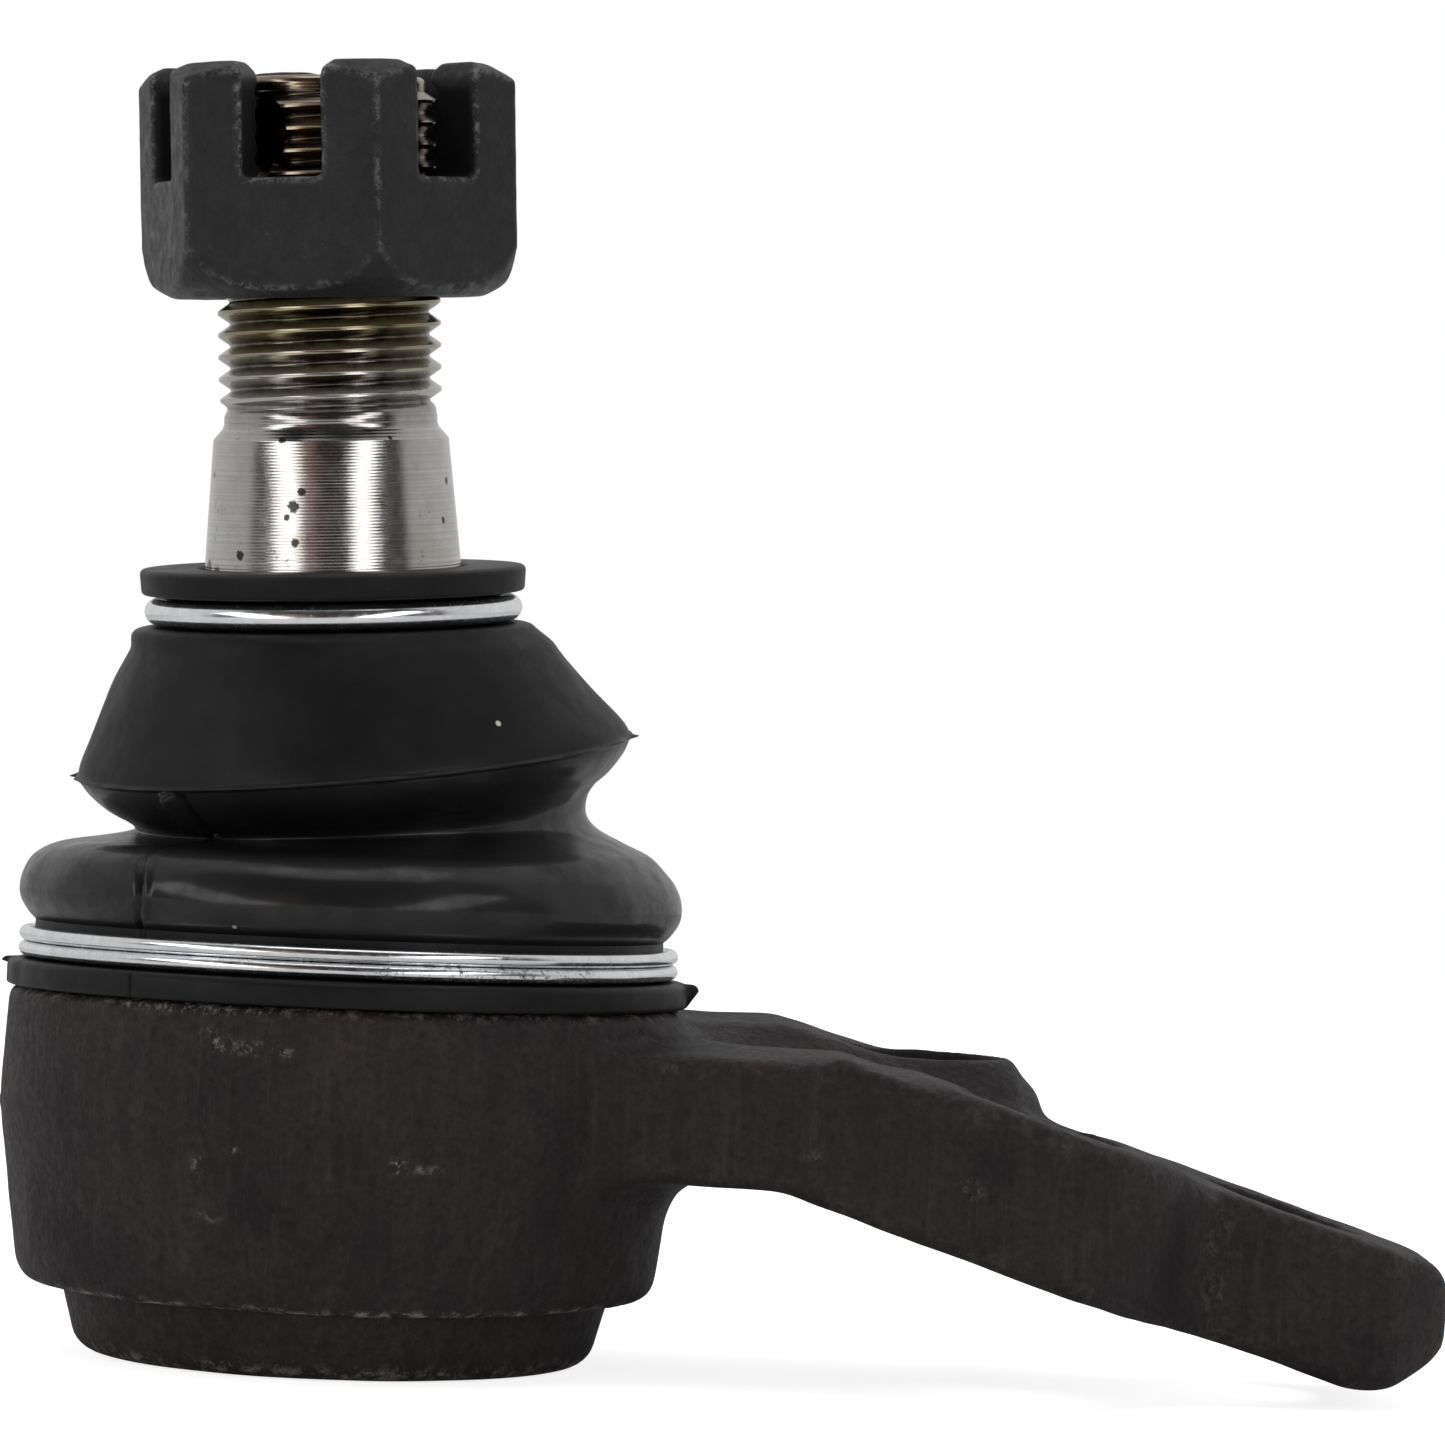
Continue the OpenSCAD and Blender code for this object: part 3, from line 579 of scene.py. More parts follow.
def make_housing():
    src = NODES["housing"]
    obj = bpy.data.objects.new("forged_housing", src.data.copy())
    bpy.context.scene.collection.objects.link(obj)
    obj.data.materials.clear()
    voxel_remesh(obj, HOUSING_VOXEL)
    p = coords(obj)
    edges = edges_of(obj)
    counts = np.bincount(edges.ravel(), minlength=len(p)).astype(float)
    r = np.hypot(p[:, 0], p[:, 1])

    # what mates with other pieces keeps its shape
    free = smoothstep((r - 18.3) / 0.6)
    free[(p[:, 2] < BASE_Z + 0.2) & (r < 18.6)] = 0
    slope = math.radians(FLANGE_SLOPE)
    across = np.array([math.sin(slope), 0, math.cos(slope)])
    for hx, hy in BOLT_HOLES:
        rel = p - np.array([hx, hy, FLANGE_TOP - (hx - FLANGE_TOP_X) * math.tan(slope)])
        off = rel - (rel @ across)[:, None] * across
        free *= smoothstep((np.linalg.norm(off, axis=1) - BOLT_HOLE_R - 0.1) / 0.5)
    soft = 0.45 + 0.55 * free
    # the arm's corners fill, but the boss round the rear hole keeps its outer foot
    off_boss = np.hypot(p[:, 0] - REAR_HOLE[0], p[:, 1] - REAR_HOLE[1])
    arm = smoothstep((p[:, 0] - 19.5) / 2.0) * free
    arm *= 1 - 0.85 * ((off_boss > 7.5) & (off_boss < 12.5) & (p[:, 2] > 1) & (p[:, 0] > 40))
    for i in range(8):
        p += (neighbour_mean(p, edges, counts) - p) * (0.6 * soft)[:, None]
    # fillets of the forging: hollow corners fill, outer edges round a little
    for i in range(90):
        if i % 10 == 0:
            set_coords(obj, p)
            n = normals(obj)
        move = neighbour_mean(p, edges, counts) - p
        out = (move * n).sum(1)
        share = np.where(out > 0, 0.55 * arm, 0.05 * free)
        p += move * share[:, None]
    set_coords(obj, p)
    n = normals(obj)
    r = np.hypot(p[:, 0], p[:, 1])
    theta = np.arctan2(p[:, 1], p[:, 0])
    bend = curvature(p, n, edges, counts, 3)
    edge_wear = np.clip(-bend / 0.010 - 0.2, 0, 1) * free
    hollow = np.clip(bend / 0.006 - 0.1, 0, 1) * free

    # hammered surface, drawn lines, folded skin below the rim and the die's parting ridge
    wall = free * (1 - smoothstep((r - 22.6) / 0.6)) * (r > 19)
    rough = 0.10 * wave(p, 0.16, 3.1) + 0.05 * wave(p, 0.45, 7.7)
    striae = 0.018 * wave(np.stack([theta * 48.4, p[:, 2] * 0.12, r * 0], 1), 1.0, 5.5)
    line = 7.6 + 0.35 * np.sin(theta * 9 + 1.3) + 0.25 * np.sin(theta * 23) + 0.3 * wave(p, 0.3, 1.7)
    fold = -0.10 * np.exp(-((p[:, 2] - line) / 0.16) ** 2)
    parting = 0.10 * np.exp(-((p[:, 2] - 1.5) / 0.35) ** 2)
    p += n * (rough * free + wall * (striae + fold + parting))[:, None]
    # the rear boss ends a little earlier at its far end
    squeeze = smoothstep((p[:, 0] - 43.4) / 2.8) * (1 - smoothstep((p[:, 0] - 48) / 6))
    p[:, 0] -= squeeze * free * smoothstep((p[:, 1] - 3) / 5) * smoothstep((p[:, 2] + 3) / 4)
    set_coords(obj, p)

    # worn skin: edges, the rim, the staked foot and the scuffs, and a painted highlight band on the front
    # lobe
    x, y, z = p[:, 0], p[:, 1], p[:, 2]
    on_lobe = smoothstep((-6 - y) / 2)
    worn = edge_wear * 0.05 * smoothstep((r - 23) / 2)
    # painted highlight: a lighter band across the front lobe, carried by the wear attribute
    worn = np.maximum(worn, 0.10 * np.exp(-((x - 56.0) / 1.2) ** 2) * on_lobe)
    worn = np.maximum(worn, np.exp(-((z - RIM_Z) / 0.35) ** 2) * (r > 21) * (r < 23) * 0.8)
    foot = (r > 19.3) * (r < 22)
    worn = np.maximum(worn, np.exp(-((z - BASE_Z - 0.25) / 0.22) ** 2) * foot * 0.8)
    for cx, cy, cz, wide, tall, amount in SCUFFS:
        mark = np.exp(-((x - cx) / wide) ** 2 - ((y - cy) / 1.5) ** 2 - ((z - cz) / tall) ** 2)
        worn = np.maximum(worn, amount * mark)
    near = (theta > math.radians(-125)) & (theta < math.radians(-98)) & (r > 20.5) & (r < 23)
    worn = np.maximum(worn, np.exp(-((z - RIM_Z + 0.2) / 0.3) ** 2) * near * 1.3)
    set_attribute(obj, "worn", worn)
    # painted shade: concave fillets and a band at the front lobe's end, darkened in the material
    lobe_end_shade = np.exp(-(x - 53.2 - 0.12 * (z + 3)) ** 2) * on_lobe
    set_attribute(obj, "hollow", np.maximum(hollow * smoothstep((x - 20) / 3), lobe_end_shade))
    obj.data.materials.append(FORGING)
    obj.data.shade_smooth()
    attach(obj, "socket")
    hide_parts("housing")


def make_cover():
    inner = COVER_R - 1.8
    profile = [(0, COVER_BOTTOM_Z), (10, COVER_BOTTOM_Z), (COVER_R - 1.3, COVER_BOTTOM_Z),
               (COVER_R - 0.1, BASE_Z + 0.1), (COVER_R, BASE_Z + 0.7), (COVER_R, COVER_SEAT_Z),
               (inner, COVER_SEAT_Z), (inner, BASE_Z), (inner - 0.9, COVER_FLOOR_Z), (0, COVER_FLOOR_Z)]
    points, faces = lathe(rounded(profile, [0, 0, 1.8, 0.3, 0.2, 0.15, 0.15, 0.3, 0.6, 0], 7), 144)
    points[:, 2] += 0.03 * wave(points, 0.2, 2.2) * (points[:, 2] < COVER_BOTTOM_Z + 1.2)
    obj = mesh_object("end_cover_pressed", points, faces, COVER, angle=40)
    outward(obj)
    p = coords(obj)
    set_attribute(obj, "worn", np.exp(-((p[:, 2] - COVER_BOTTOM_Z - 0.4) / 0.5) ** 2) * 0.5)
    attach(obj, "socket")
    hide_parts("end_cover")


# ---- Stud ----

def make_stud():
    steps, per_pitch = 128, 14
    points, faces = [], []

    def ring(r, z):
        start = len(points)
        for i in range(steps):
            t = 2 * math.pi * i / steps
            points.append([r * math.cos(t), r * math.sin(t), z])
        return start

    def join(a, b):
        for i in range(steps):
            k = (i + 1) % steps
            faces.append([a + i, a + k, b + k, b + i])

    flat_r = math.sqrt(BALL_R ** 2 - BALL_FLAT_Z ** 2)
    ball = [(0, BALL_FLAT_Z), (flat_r - 0.2, BALL_FLAT_Z)]
    start = math.asin((BALL_FLAT_Z + 0.1) / BALL_R)
    top = math.acos((NECK_R + 0.35) / BALL_R)
    for k in range(29):
        a = start + (top - start) * k / 28
        ball.append((BALL_R * math.cos(a), BALL_R * math.sin(a)))
    ball += [(NECK_R + 0.1, 9.6), (NECK_R, 10.2)]
    shank = [(NECK_R, 14), (NECK_R, 24), (NECK_R, 33.0)]
    shank += rounded([(NECK_R, 33.0), (NECK_R, 33.2), (TAPER_BIG_R, TAPER_Z),
                      (TAPER_SMALL_R, TAPER_END_Z), (CORE_R + 0.55, THREAD_Z - 0.2),
                      (CORE_R + 0.45, THREAD_Z + 0.1)],
                     [0, 0.2, 0.15, 0.12, 0.3, 0], 3)[1:]
    profile = ball + shank
    fine = []
    for (r0, z0), (r1, z1) in zip(profile, profile[1:]):
        fine.append((r0, z0))
        if abs(z1 - z0) > 3:
            for k in range(1, 4):
                fine.append((r0 + (r1 - r0) * k / 4, z0 + (z1 - z0) * k / 4))
    fine.append(profile[-1])
    bottom = len(points)
    points.append([0, 0, fine[0][1]])
    last = ring(*fine[1])
    for i in range(steps):
        faces.append([bottom, last + (i + 1) % steps, last + i])
    for r, z in fine[2:]:
        here = ring(r, z)
        join(last, here)
        last = here

    # thread: rows follow the helix, and are held between its two ends
    z0, z1 = THREAD_Z + 0.1, STUD_END_Z - 0.95
    step = PITCH / per_pitch
    rows = int(math.ceil((z1 - z0 + PITCH) / step)) + 1
    base = len(points)
    crest, root = 0.16, 0.10
    for j in range(rows):
        s = z0 - PITCH + j * step
        phase = (j % per_pitch) / per_pitch
        d = abs(phase - 0.5) * 2
        depth = min(1.0, max(0.0, (d - crest) / (1 - crest - root)))
        r_thread = THREAD_R - (THREAD_R - CORE_R) * depth
        for i in range(steps + 1):
            z = s + PITCH * i / steps
            fade = float(smoothstep((z - z0 - 0.5) / 1.2))
            fade *= 1 - float(smoothstep((z - z1 + 0.25) / 0.5))
            core = CORE_R + 0.45 * (1 - float(smoothstep((z - z0 - 0.3) / 1.4)))
            r = core + (r_thread - core) * fade
            z = min(max(z, z0), z1)
            t = 2 * math.pi * i / steps
            points.append([r * math.cos(t), r * math.sin(t), z])
    for j in range(rows - 1):
        for i in range(steps):
            a = base + j * (steps + 1) + i
            corners = [a, a + 1, a + steps + 2, a + steps + 1]
            heights = [points[k][2] for k in corners]
            if max(heights) - min(heights) > 1e-9:
                faces.append(corners)
    last = ring(CORE_R, z1)
    end = rounded([(CORE_R, z1), (CORE_R, STUD_END_Z), (0, STUD_END_Z)], [0, 0.6, 0], 4)
    for r, z in end[1:-1]:
        here = ring(r, z)
        join(last, here)
        last = here
    tip = len(points)
    points.append([0, 0, STUD_END_Z])
    for i in range(steps):
        faces.append([last + i, last + (i + 1) % steps, tip])
    obj = mesh_object("stud", points, faces, STUD)
    bm = bmesh.new()
    bm.from_mesh(obj.data)
    bmesh.ops.remove_doubles(bm, verts=bm.verts, dist=2e-6)
    bmesh.ops.holes_fill(bm, edges=[e for e in bm.edges if e.is_boundary], sides=400)
    bmesh.ops.recalc_face_normals(bm, faces=bm.faces)
    bm.to_mesh(obj.data)
    bm.free()

    # the cotter pin's hole with its countersunk mouths
    mouth = COTTER_R + 1.3
    cut = [(0, -9), (mouth, -9), (mouth, -7.3), (COTTER_R, -6.0), (COTTER_R, 6.0), (mouth, 7.3),
           (mouth, 9), (0, 9)]
    cp, cf = lathe(rounded(cut, [0, 0, 0, 0.3, 0.3, 0, 0, 0], 2), 48)
    cp = cp @ turn("Y", 90).T @ turn("Z", COTTER_TURN).T + [0, 0, COTTER_Z]
    cutter = mesh_object("cut_cotter", cp, cf, None)
    outward(cutter)
    boolean(obj, cutter)
    p = coords(obj)
    r = np.hypot(p[:, 0], p[:, 1])
    threaded = (p[:, 2] > THREAD_Z - 0.6) & (p[:, 2] < STUD_END_Z - 0.5)
    set_attribute(obj, "groove", np.clip((THREAD_R - 0.1 - r) / 0.6, 0, 1) * threaded)
    set_coords(obj, p @ ON_STUD.T)
    obj.data.shade_smooth()
    obj.data.set_sharp_from_angle(angle=math.radians(50))
    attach(obj, "stud")
    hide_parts("ball_stud")


# ---- Nut ----

def make_nut():
    face = NUT_FLATS / 2
    corner = face / math.cos(math.radians(30))
    bearing = face - 1
    points = [[corner * math.cos(math.radians(60 * i)), corner * math.sin(math.radians(60 * i)), z]
              for z in (NUT_Z - 1, NUT_TOP_Z + 1) for i in range(6)]
    faces = [[0, 1, 2, 3, 4, 5][::-1], [6, 7, 8, 9, 10, 11]]
    faces += [[i, (i + 1) % 6, 6 + (i + 1) % 6, 6 + i] for i in range(6)]
    obj = mesh_object("nut_castle", points, faces, NUT, smooth=False)
    drop = (corner - face + 0.5) * math.tan(math.radians(30))
    span = corner - bearing
    low = span * 1.3
    chamfer = catmull([(bearing, NUT_Z), (bearing + 0.55 * span, NUT_Z + 0.24 * low),
                       (bearing + 0.82 * span, NUT_Z + 0.58 * low), (corner + 0.05, NUT_Z + low)], 5)
    profile = [(0, NUT_Z)] + chamfer
    profile += [(corner + 0.2, NUT_TOP_Z - drop), (face - 0.5, NUT_TOP_Z), (0, NUT_TOP_Z)]
    # level grooves stand for the nut's thread, which shows only through the slots
    bore, groove, mouth = THREAD_R + 0.08, THREAD_R + 0.76, THREAD_R + 0.96
    thread = [(0, NUT_Z - 2), (mouth, NUT_Z - 2), (mouth, NUT_Z - 0.2), (bore + 0.03, NUT_Z + 0.6)]
    z = NUT_Z + 0.9
    while z < NUT_TOP_Z - 2.4:
        thread += [(bore, z), (groove, z + PITCH * 0.42), (groove, z + PITCH * 0.55),
                   (bore, z + PITCH * 0.97)]
        z += PITCH
    thread += [(bore, z + 0.05), (bore, NUT_TOP_Z - 0.7), (mouth, NUT_TOP_Z + 0.2),
               (mouth, NUT_TOP_Z + 2), (0, NUT_TOP_Z + 2)]
    floor = NUT_TOP_Z - NUT_SLOT_DEPTH
    side = [(1.2, NUT_TOP_Z + 1), (0.62, NUT_TOP_Z + 0.02), (0, NUT_TOP_Z - 0.75), (0, floor)]
    half = NUT_SLOT_WIDTH / 2
    shape = [(-half - y, z) for y, z in side] + [(half + y, z) for y, z in side[::-1]]
    shape = rounded(shape, [0, 0, 0.7, 0.35, 0.35, 0.7, 0, 0], 4)
    for i in range(6):
        pts = [[x, y, z] for x in (4.0, 16.0) for y, z in shape]
        n = len(shape)
        fcs = [list(range(n)), [n + k for k in range(n)][::-1]]
        fcs += [[k, n + k, n + (k + 1) % n, (k + 1) % n] for k in range(n)]
        pts = np.array(pts) @ turn("Z", 30 + 60 * i).T
        slot = mesh_object("cut_slot", pts, fcs, None)
        outward(slot)
        boolean(obj, slot)
    lp, lf = lathe(profile, 144)
    shell = mesh_object("cut_shell", lp, lf, None)
    outward(shell)
    boolean(obj, shell, "INTERSECT")
    tp, tf = lathe(thread, 90)
    tp = tp @ turn("Z", 1.3).T
    cutter = mesh_object("cut_thread", tp, tf, None)
    outward(cutter)
    boolean(obj, cutter)
    voxel_remesh(obj, NUT_VOXEL)
    p = coords(obj)
    edges = edges_of(obj)
    counts = np.bincount(edges.ravel(), minlength=len(p)).astype(float)
    for i in range(5):
        p += (neighbour_mean(p, edges, counts) - p) * 0.6
    set_coords(obj, p)
    n = normals(obj)
    bend = curvature(p, n, edges, counts, 2)
    r = np.hypot(p[:, 0], p[:, 1])
    outside = r > 8.4
    set_attribute(obj, "worn", np.clip(-bend / 0.012 - 0.25, 0, 1) * outside)
    # painted shade: the slots' walls are painted near black
    a = np.arctan2(p[:, 1], p[:, 0])
    across = r * np.cos(a % (math.pi / 3) - math.pi / 6)
    slot_shade = smoothstep((face - 0.35 - across) / 0.4) * smoothstep((NUT_TOP_Z - 1.2 - p[:, 2]) / 0.8)
    set_attribute(obj, "slot_shade", slot_shade * (p[:, 2] > floor - 0.3))
    p += n * (0.03 * wave(p, 0.35, 6.6) + 0.015 * wave(p, 1.1, 2.6))[:, None] * outside[:, None]
    set_coords(obj, p @ turn("Z", NUT_TURN).T @ ON_STUD.T)
    obj.data.materials.clear()
    obj.data.materials.append(NUT)
    obj.data.shade_smooth()
    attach(obj, "nut")
    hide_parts("castle_nut")


# ---- Dust boot ----

def catmull(points, per=6):
    """Smooth curve through the points."""
    p = np.array(points, float)
    out = []
    for i in range(len(p) - 1):
        a = p[max(i - 1, 0)]
        b, c = p[i], p[i + 1]
        d = p[min(i + 2, len(p) - 1)]
        for k in range(per):
            t = k / per
            out.append(0.5 * (2 * b + (c - a) * t + (2 * a - 5 * b + 4 * c - d) * t ** 2
                              + (3 * b - a - 3 * c + d) * t ** 3))
    out.append(p[-1])
    return [tuple(v) for v in out]


def boot_points(p):
    """Upright points of the boot, leaned: the middle follows the stud, the folds their own lean."""
    x, y, z = p[:, 0], p[:, 1], p[:, 2]
    share = smoothstep((z - BEND_START) / (BEND_END - BEND_START))
    middle = leaned(np.stack([x * 0, x * 0, z], 1), share)
    fold = smoothstep((z - BEND_START - 0.7) / (FOOT_Z + 13.1 - BEND_START - 0.7))
    top = smoothstep((z - FOOT_Z - 15.7) / (BEND_END - FOOT_Z - 15.7))
    a = np.radians(FOLD_LEAN_X * fold * (1 - top) + LEAN_X * top)
    b = np.radians(FOLD_LEAN_Y * fold * (1 - top) + LEAN_Y * top)
    drop = x * np.sin(b)
    turned = [x * np.cos(b), y * np.cos(a) + drop * np.sin(a), y * np.sin(a) - drop * np.cos(a)]
    return middle + np.stack(turned, 1)


def make_boot():
    """Two shells that meet at the waist."""
    # azimuths, with finer steps at the tags and at the seam
    t = [360 * i / 300 for i in range(300)]
    for middle in (-2, 180, SEAM_TURN):
        t += [(middle + k / 4) % 360 for k in range(-20, 21)]
    t = np.radians(sorted(set(round(v, 2) for v in t)))
    steps = len(t)
    foot = FOOT_Z
    lip = rounded([(SKIRT_R, foot + 0.02), (FOOT_R, foot + 0.02), (FOOT_R, foot + 1.6),
                   (GROOVE_R + 0.15, foot + 1.75), (GROOVE_R, foot + 2.2), (GROOVE_R, foot + 4.2)],
                  [0, 0.25, 0.45, 0.2, 0.2, 0], 4)
    fold = catmull([(GROOVE_R, foot + 4.2), (GROOVE_R + 0.45, foot + 4.65),
                    (GROOVE_R + 0.98, foot + 5.5), (GROOVE_R + 1.1, foot + 6.4),
                    (GROOVE_R + 0.85, foot + 7.4), (GROOVE_R + 0.2, foot + 8.4),
                    (GROOVE_R - 1.3, foot + 9.45), (GROOVE_R - 3.2, foot + 10.05),
                    (15.6, foot + 10.55), (14.85, foot + 11.0), (14.62, foot + 11.5),
                    (14.85, foot + 12.2), OUTER_WAIST], 5)
    outside_low = lip[1:] + fold[1:]
    upper = catmull([OUTER_WAIST, (16.3, foot + 13.45), (17.25, foot + 14.45), (17.7, foot + 15.2),
                     (17.78, foot + 15.45), (17.8, foot + FLASH_Z), (17.79, foot + 15.75),
                     (17.7, foot + 16.1), (17.35, foot + 16.8), (16.2, foot + 18.6),
                     (14.95, foot + 20.7), (13.95, 31.3), (13.3, 32.3), (12.95, 32.8),
                     (12.6, 33.05), (11.8, 33.17), SHOULDER], 5)
    top = rounded([SHOULDER, (10.15, 33.4), (10.15, 35.0), (12.3, 35.25), (12.42, 36.9),
                   (8.65, 36.9), (8.65, 34.9), MOUTH], [0, 0.2, 0.2, 0.3, 0.35, 0.25, 0.3, 0], 4)
    outside_up = upper + top[1:]
    inside_low = catmull([INNER_WAIST, (13.1, foot + 11.6), (13.5, foot + 10.0), (16.5, foot + 8.9),
                          (18.9, foot + 7.6), (19.2, foot + 6.2), (18.6, foot + 5.0),
                          (18.3, foot + 4.4), (SKIRT_R, foot + 3.8), (SKIRT_R, foot + 0.02)], 3)
    inside_up = catmull([MOUTH, (7.8, 33.0), (8.4, 31.2), (9.8, 30.3), (11.8, 29.8),
                         (16.0, foot + 16.4), (15.7, foot + 15.0), INNER_WAIST], 3)

    def bump(theta, middle, wide):
        return np.exp(-(((np.degrees(theta) - middle + 180) % 360 - 180) / wide) ** 2)

    def detail(p):
        """Moulding flash with its tags, the seam, the gate mark and the soft waves of the rubber."""
        theta = np.arctan2(p[:, 1], p[:, 0])
        r, z = np.hypot(p[:, 0], p[:, 1]), p[:, 2] - foot
        rad = np.stack([np.cos(theta), np.sin(theta), theta * 0], 1)
        soft = 0.10 * wave(p, 0.12, 4.2) + 0.05 * wave(p, 0.4, 9.2)
        out = soft * smoothstep((z - 5) / 3) * (1 - smoothstep((z - 22.4) / 1.5))
        around = np.stack([np.cos(theta) * 9, np.sin(theta) * 9, theta * 0], 1)
        height = 0.22 + 0.20 * wave(around, 1.0, 3.0)
        height += 0.45 * bump(theta, 182, 1.0) + 0.40 * bump(theta, -3, 1.6)
        out += height * np.exp(-((z - FLASH_Z) / 0.13) ** 2) * (r > 17)
        skin = r > 14.4
        seam = SEAM_TURN + 1.5 * np.sin((z - 4.5) * 0.8)
        crease = 0.16 * bump(theta, seam + 1.4, 0.8) - 0.36 * bump(theta, seam, 0.7)
        out += crease * skin * (z > 4.2) * (z < 11.5)
        gate = smoothstep((z - 11.6) / 0.8) * (1 - smoothstep((z - 15.0) / 0.6)) * skin
        out += gate * (0.85 * bump(theta, -127.0, 1.5) - 0.55 * bump(theta, -124.0, 1.0))
        lip_skin = (r > 21) & (z < 2)
        tags = 0.75 * bump(theta, -3.5, 1.4) * smoothstep(z / 1.2)
        tags += 0.5 * bump(theta, 181, 0.8) * (z > 1.3)
        out += lip_skin * (tags - 0.15 * bump(theta, -124, 0.35) + 0.06 * wave(around, 1.6, 8.0))
        return p + rad * out[:, None]

    def shell(name, outside, inside, axis, start, end, a, b):
        """One closed shell; the arguments axis, start, end, a and b are not used."""
        rz = np.array(outside + inside)
        n = len(rz)
        pts = np.stack([rz[None, :, 0] * np.cos(t)[:, None], rz[None, :, 0] * np.sin(t)[:, None],
                        np.broadcast_to(rz[None, :, 1], (steps, n))], 2).reshape(-1, 3)
        faces = []
        for j in range(steps):
            here, there = j * n, (j + 1) % steps * n
            faces += [[here + i, there + i, there + (i + 1) % n, here + (i + 1) % n] for i in range(n)]
        z = pts[:, 2] - foot
        gloss = smoothstep((z - 4.0) / 1.0) * (1 - smoothstep((z - 14.6) / 1.6))
        gloss = gloss * (0.75 + 0.25 * wave(pts, 0.3, 12.0))
        # top face mask: settled dust and painted light from above
        dust = smoothstep((z - 27.5) / 0.2)
        pts = boot_points(detail(pts))
        # the folds sit half a millimetre towards the arm
        aside = 0.5 * smoothstep((z - 8.2) / 2) * (1 - smoothstep((z - 22.6) / 1.2))
        pts[:, 0] += aside * np.tile(np.arange(n) < len(outside), steps)
        obj = mesh_object(name, pts, faces, RUBBER, angle=38)
        set_attribute(obj, "gloss", gloss)
        set_attribute(obj, "dust", dust)
        outward(obj)
        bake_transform(obj)
        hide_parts("dust_boot")

    across_fold = turn("X", FOLD_LEAN_X) @ turn("Y", FOLD_LEAN_Y) @ UPRIGHT
    shell("boot_lower", outside_low, inside_low, UPRIGHT, 10.4, 19.8, "socket", "liner")
    shell("boot_upper", outside_up, inside_up[1:], across_fold, 22.0, 32.4, "liner", "collar")


# ---- Rings ----

def make_rings():
    # two turns, with the step up from one to the other at the back
    climb = 30
    ring_r, ring_z = GROOVE_R + LOWER_WIRE_R + 0.05, GROOVE_Z + 0.15 + LOWER_WIRE_R
    t = np.linspace(0, 720 - climb, 440)
    u = smoothstep((t - 360 + climb) / climb)
    a = np.radians(t + 100)
    c = np.stack([ring_r * np.cos(a), ring_r * np.sin(a), ring_z + LOWER_WIRE_PITCH * u], 1)
    points, faces = sweep(c, LOWER_WIRE_R, 16)
    low = mesh_object("boot_ring_lower", points, faces, ZINC, angle=50)
    outward(low)
    p = coords(low)
    th = np.degrees(np.arctan2(p[:, 1], p[:, 0]))
    set_attribute(low, "rust", ((th > -82) & (th < -40) & (p[:, 2] < ring_z + 0.45)) * 1.0)
    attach(low, "socket")
    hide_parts("lower_boot_ring")

    a = np.radians(np.linspace(94, 446, 200))
    c = np.stack([UPPER_RING_R * np.cos(a), UPPER_RING_R * np.sin(a), a * 0 + UPPER_RING_Z], 1)
    points, faces = sweep(c, UPPER_WIRE_R, 20)
    points = np.array(points) @ ON_STUD.T
    up = mesh_object("boot_ring_upper", points, faces, ZINC, angle=50)
    outward(up)
    set_attribute(up, "rust", np.zeros(len(up.data.vertices)))
    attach(up, "collar")
    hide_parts("upper_boot_ring")


def dress_nodes():
    """Pieces that keep their CAD mesh get their finish."""
    bearing = plain_material("bearing_plastic", (0.62, 0.59, 0.50), (0.70, 0.67, 0.58), 0.0, 0.35, 0.5)
    bronze = plain_material("liner_bronze", (0.33, 0.20, 0.08), (0.42, 0.27, 0.12), 1.0, 0.25, 0.45)
    plate = plain_material("plate_steel", (0.45, 0.46, 0.48), (0.55, 0.56, 0.58), 1.0, 0.3, 0.45)
    spring = plain_material("spring_steel", (0.25, 0.27, 0.32), (0.36, 0.38, 0.43), 1.0, 0.28, 0.42)
    collar = plain_material("collar_plastic", (0.50, 0.47, 0.38), (0.58, 0.55, 0.46), 0.0, 0.4, 0.55)
    for name, mat in (("upper_seat", bearing), ("lower_seat", bearing), ("ball_liner", bronze),
                      ("spring_seat", plate), ("disc_spring", spring), ("boot_collar", collar)):
        NODES[name].data.materials.clear()
        NODES[name].data.materials.append(mat)


# ---- Floor, light and camera ----

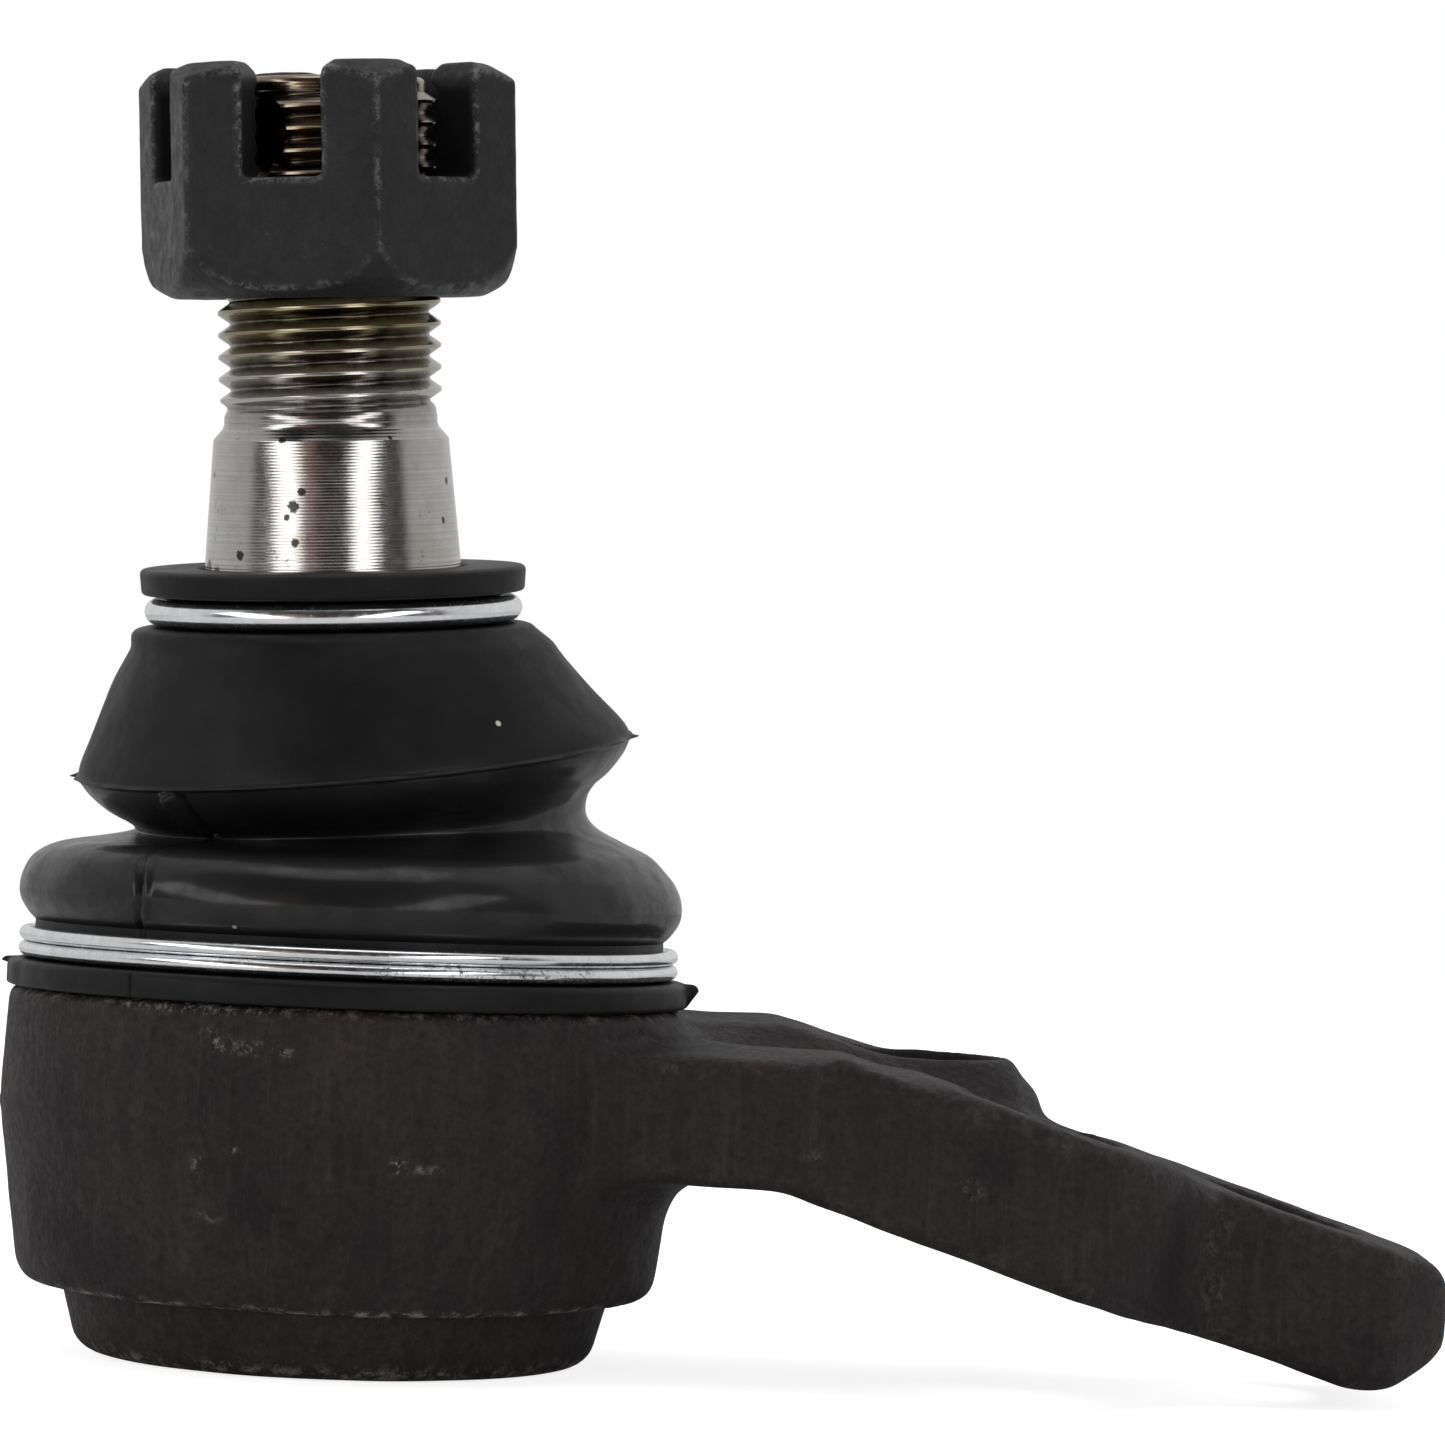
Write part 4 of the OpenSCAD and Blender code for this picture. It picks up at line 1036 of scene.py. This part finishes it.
def make_stage():
    s = Shade("floor_white")
    n = s.noise(40, 3, 0.5)
    s.set("Base Color", s.ramp(n, [(0.2, 0.88), (0.8, 0.92)]))
    s.set("Roughness", s.ramp(n, [(0.2, 0.75), (0.8, 0.85)]))
    s.set("Specular IOR Level", 0.1)
    s.set("Emission Color", (1.0, 1.0, 1.0))
    path = s.node("LightPath")
    s.set("Emission Strength", s.ramp(path.outputs["Is Camera Ray"], [(0.0, 0.0), (1.0, 0.8)]))
    size, cells, z = 900, 24, COVER_BOTTOM_Z - 0.05
    lines = [size * (2 * i / cells - 1) for i in range(cells + 1)]
    points = [[x, y, z] for y in lines for x in lines]
    row = cells + 1
    faces = [[j * row + i, j * row + i + 1, (j + 1) * row + i + 1, (j + 1) * row + i]
             for j in range(cells) for i in range(cells)]
    floor = mesh_object("floor", points, faces, s.mat)

    world = bpy.data.worlds.new("studio")
    bpy.context.scene.world = world
    world.use_nodes = True
    tree = world.node_tree
    tree.nodes.clear()

    def add(kind):
        return tree.nodes.new("ShaderNode" + kind)

    out, mix, path = add("OutputWorld"), add("MixShader"), add("LightPath")
    seen, room = add("Background"), add("Background")
    coord, split, shift, ramp = add("TexCoord"), add("SeparateXYZ"), add("Math"), add("ValToRGB")
    seen.inputs["Color"].default_value = (1, 1, 1, 1)
    tree.links.new(coord.outputs["Generated"], split.inputs[0])
    shift.operation = "MULTIPLY_ADD"
    shift.inputs[1].default_value = 0.5
    shift.inputs[2].default_value = 0.5
    tree.links.new(split.outputs["Y"], shift.inputs[0])
    tree.links.new(shift.outputs[0], ramp.inputs["Fac"])
    # the room behind the camera (-Y) is dark, the wall behind the part light
    stops = [(0.05, (0.035, 0.028, 0.026, 1)), (0.34, (0.075, 0.072, 0.07, 1)),
             (0.42, (0.58, 0.58, 0.58, 1)), (0.75, (0.68, 0.68, 0.68, 1))]
    while len(ramp.color_ramp.elements) < len(stops):
        ramp.color_ramp.elements.new(0.5)
    for e, (place, colour) in zip(ramp.color_ramp.elements, stops):
        e.position, e.color = place, colour
    tree.links.new(ramp.outputs["Color"], room.inputs["Color"])
    tree.links.new(path.outputs["Is Camera Ray"], mix.inputs["Fac"])
    tree.links.new(room.outputs[0], mix.inputs[1])
    tree.links.new(seen.outputs[0], mix.inputs[2])
    tree.links.new(mix.outputs[0], out.inputs["Surface"])

    def panel(name, azimuth, height, away, wide, tall, radiance, colour=(1, 1, 1)):
        """Soft light aimed at the stud, azimuth measured from the camera's side."""
        light = bpy.data.lights.new(name, "AREA")
        light.shape, light.size, light.size_y = "RECTANGLE", wide, tall
        light.energy = radiance * math.pi * wide * tall
        light.color = colour
        obj = bpy.data.objects.new(name, light)
        bpy.context.scene.collection.objects.link(obj)
        a = math.radians(azimuth)
        place = Vector((away * math.sin(a), -away * math.cos(a), height))
        obj.location = place
        obj.rotation_euler = (Vector((0.0, 0.0, 0.03)) - place).to_track_quat("-Z", "Z").to_euler()
        obj.visible_camera = False

    panel("left_box", -47, 0.20, 0.80, 0.25, 0.85, 3.0)
    panel("right_box", 36, 0.20, 0.80, 0.23, 0.85, 3.0)
    panel("warm_wall", -19, 0.05, 0.90, 0.30, 0.90, 0.20, (1.0, 0.55, 0.40))
    panel("top_soft", 0, 0.80, 0.15, 0.60, 0.50, 1.2)


def make_camera():
    """Camera matched to the photo, whose pixels give the focal length and the ball's place."""
    photo_px, focal_px, sensor = 1445, 5600, 36
    ball_right_px, ball_up_px, away = -380.5, -412.5, 0.363
    tilt, roll = 0.5, 2.4
    data = bpy.data.cameras.new("camera")
    data.sensor_width = sensor
    data.lens = focal_px / photo_px * sensor
    data.clip_start, data.clip_end = 0.02, 20
    cam = bpy.data.objects.new("camera", data)
    bpy.context.scene.collection.objects.link(cam)
    turned = Matrix.Rotation(math.radians(90 + tilt), 3, "X") @ Matrix.Rotation(math.radians(roll), 3, "Z")
    ball = Vector((ball_right_px / focal_px * away, ball_up_px / focal_px * away, -away))
    cam.matrix_world = Matrix.Translation(-(turned @ ball)) @ turned.to_4x4()
    bpy.context.scene.camera = cam


make_camera()
make_housing()
make_cover()
make_stud()
make_nut()
make_boot()
make_rings()
dress_nodes()
make_stage()
bpy.context.scene.view_settings.view_transform = "Standard"
